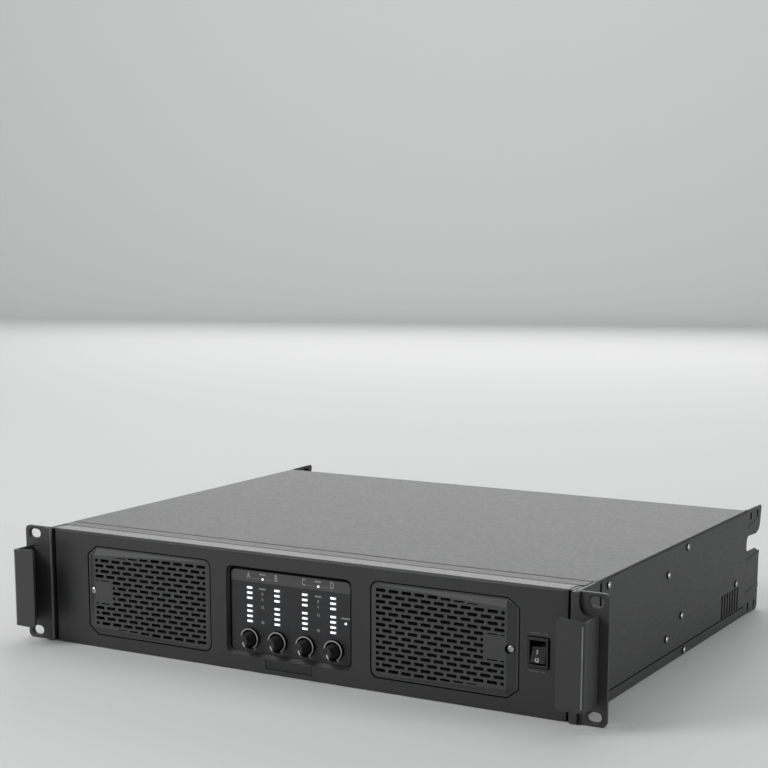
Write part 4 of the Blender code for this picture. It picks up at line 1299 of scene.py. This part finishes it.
def make_mains_inlet():
    """A locking round mains inlet: a keyed channel, a hub and three blade contacts."""
    node = "mains_inlet"
    socket_flange(node, INLET_X, INLET_HALF, SOCKET_BLACK)
    socket_ring(node, INLET_X, 0.0127, 0.0018, 0.0020, MAINS_BLUE)
    profile = [(0, -0.0270), (0.0078, -0.0270), (0.0078, -0.0016), (0.0070, -0.0008), (0, -0.0008)]
    hub = lathe(node + "_hub", profile, (INLET_X, FLANGE_REAR, SOCKET_Z), "-Y", 48)
    dressed(hub, SOCKET_BLACK, "chassis")
    for number, turn in enumerate((90, 210, 330)):
        place = polar((INLET_X, SOCKET_Z), 0.0094, 0.0094, turn)
        contact(node, number, place, 0.0009, behind(-0.0200, -0.0060))


def make_earth_terminal():
    profile = [(0, -0.003), (0.0032, -0.003), (0.0032, 0.0012), (0.0019, 0.0012), (0.0019, 0.0075)]
    profile += [(0.0016, 0.0080), (0, 0.0080)]
    post = lathe("earth_terminal_post", profile, EARTH_TERMINAL, "-Y", 32)
    dressed(post, SCREW, "chassis")
    profile = [(0.0019, 0.0020), (0.0037, 0.0020), (0.0040, 0.0024), (0.0040, 0.0042), (0.0037, 0.0046)]
    profile += [(0.0019, 0.0046), (0.0019, 0.0020)]
    nut = lathe("earth_terminal_nut", profile, EARTH_TERMINAL, "-Y", 6)
    dressed(nut, SCREW, "chassis")


def rear_letter(name, letter, x):
    """A channel letter that reads the right way round from behind."""
    mark = lettering(name, letter.upper(), (0, 0, 0), 0.0036, 0.75)
    place = Matrix.Translation((x, REAR_FACE + 0.00001, REAR_LETTER_Z))
    mark.data.transform(place @ Matrix.Rotation(math.pi, 4, "Z"))
    dressed(mark, INK_GREY, "chassis")


def make_rear():
    panel = copied("rear_panel_sheet", "rear_panel")
    soften(panel, 0.00025, 40, 2)
    dressed(panel, COAT, "chassis", ["rear_panel"])
    for number, x in enumerate(REAR_SCREW_X):
        for label, z in (("upper", 0.0826), ("lower", 0.0058)):
            name = "rear_" + label + "_screw_" + str(number + 1)
            screw = cross_screw(name, (x, REAR_FACE - 0.0001, z), "-Y", 0.0025, 0.0013, 0.0050, 17 * number)
            dressed(screw, SCREW, "chassis")
    for letter, signal_x, speaker_x in zip(CHANNELS, SIGNAL_X, SPEAKER_X):
        make_signal_socket(letter, signal_x)
        make_speaker_socket(letter, speaker_x)
        rear_letter("rear_input_letter_" + letter, letter, signal_x)
        rear_letter("rear_output_letter_" + letter, letter, speaker_x)
    make_mains_inlet()
    make_earth_terminal()


def make_flush_screws():
    """Countersunk screws in the lid and under the tray."""
    spots = [("lid_screw_1", (0.0, 0.158, 0.0879), "Z")]
    places = [(x, y) for y in (0.0240, 0.1300, 0.2350, 0.3350) for x in (-0.2050, 0, 0.2050)]
    for number, (x, y) in enumerate(places):
        spots.append(("tray_screw_" + str(number + 1), (x, y, 0.0001), "-Z"))
    for name, centre, axis in spots:
        screw = cross_screw(name, centre, axis, 0.0027, 0.0002, 0.0030, 10)
        dressed(screw, BLACK_SCREW, "chassis")


make_rear()
make_flush_screws()


# Every frame part that still shows takes the finish of its slot

for made in nodes.values():
    for index, entry in enumerate(made.data.materials):
        slot_name = entry.name.split(".")[0]
        made.data.materials[index] = FINISHES[slot_name].material
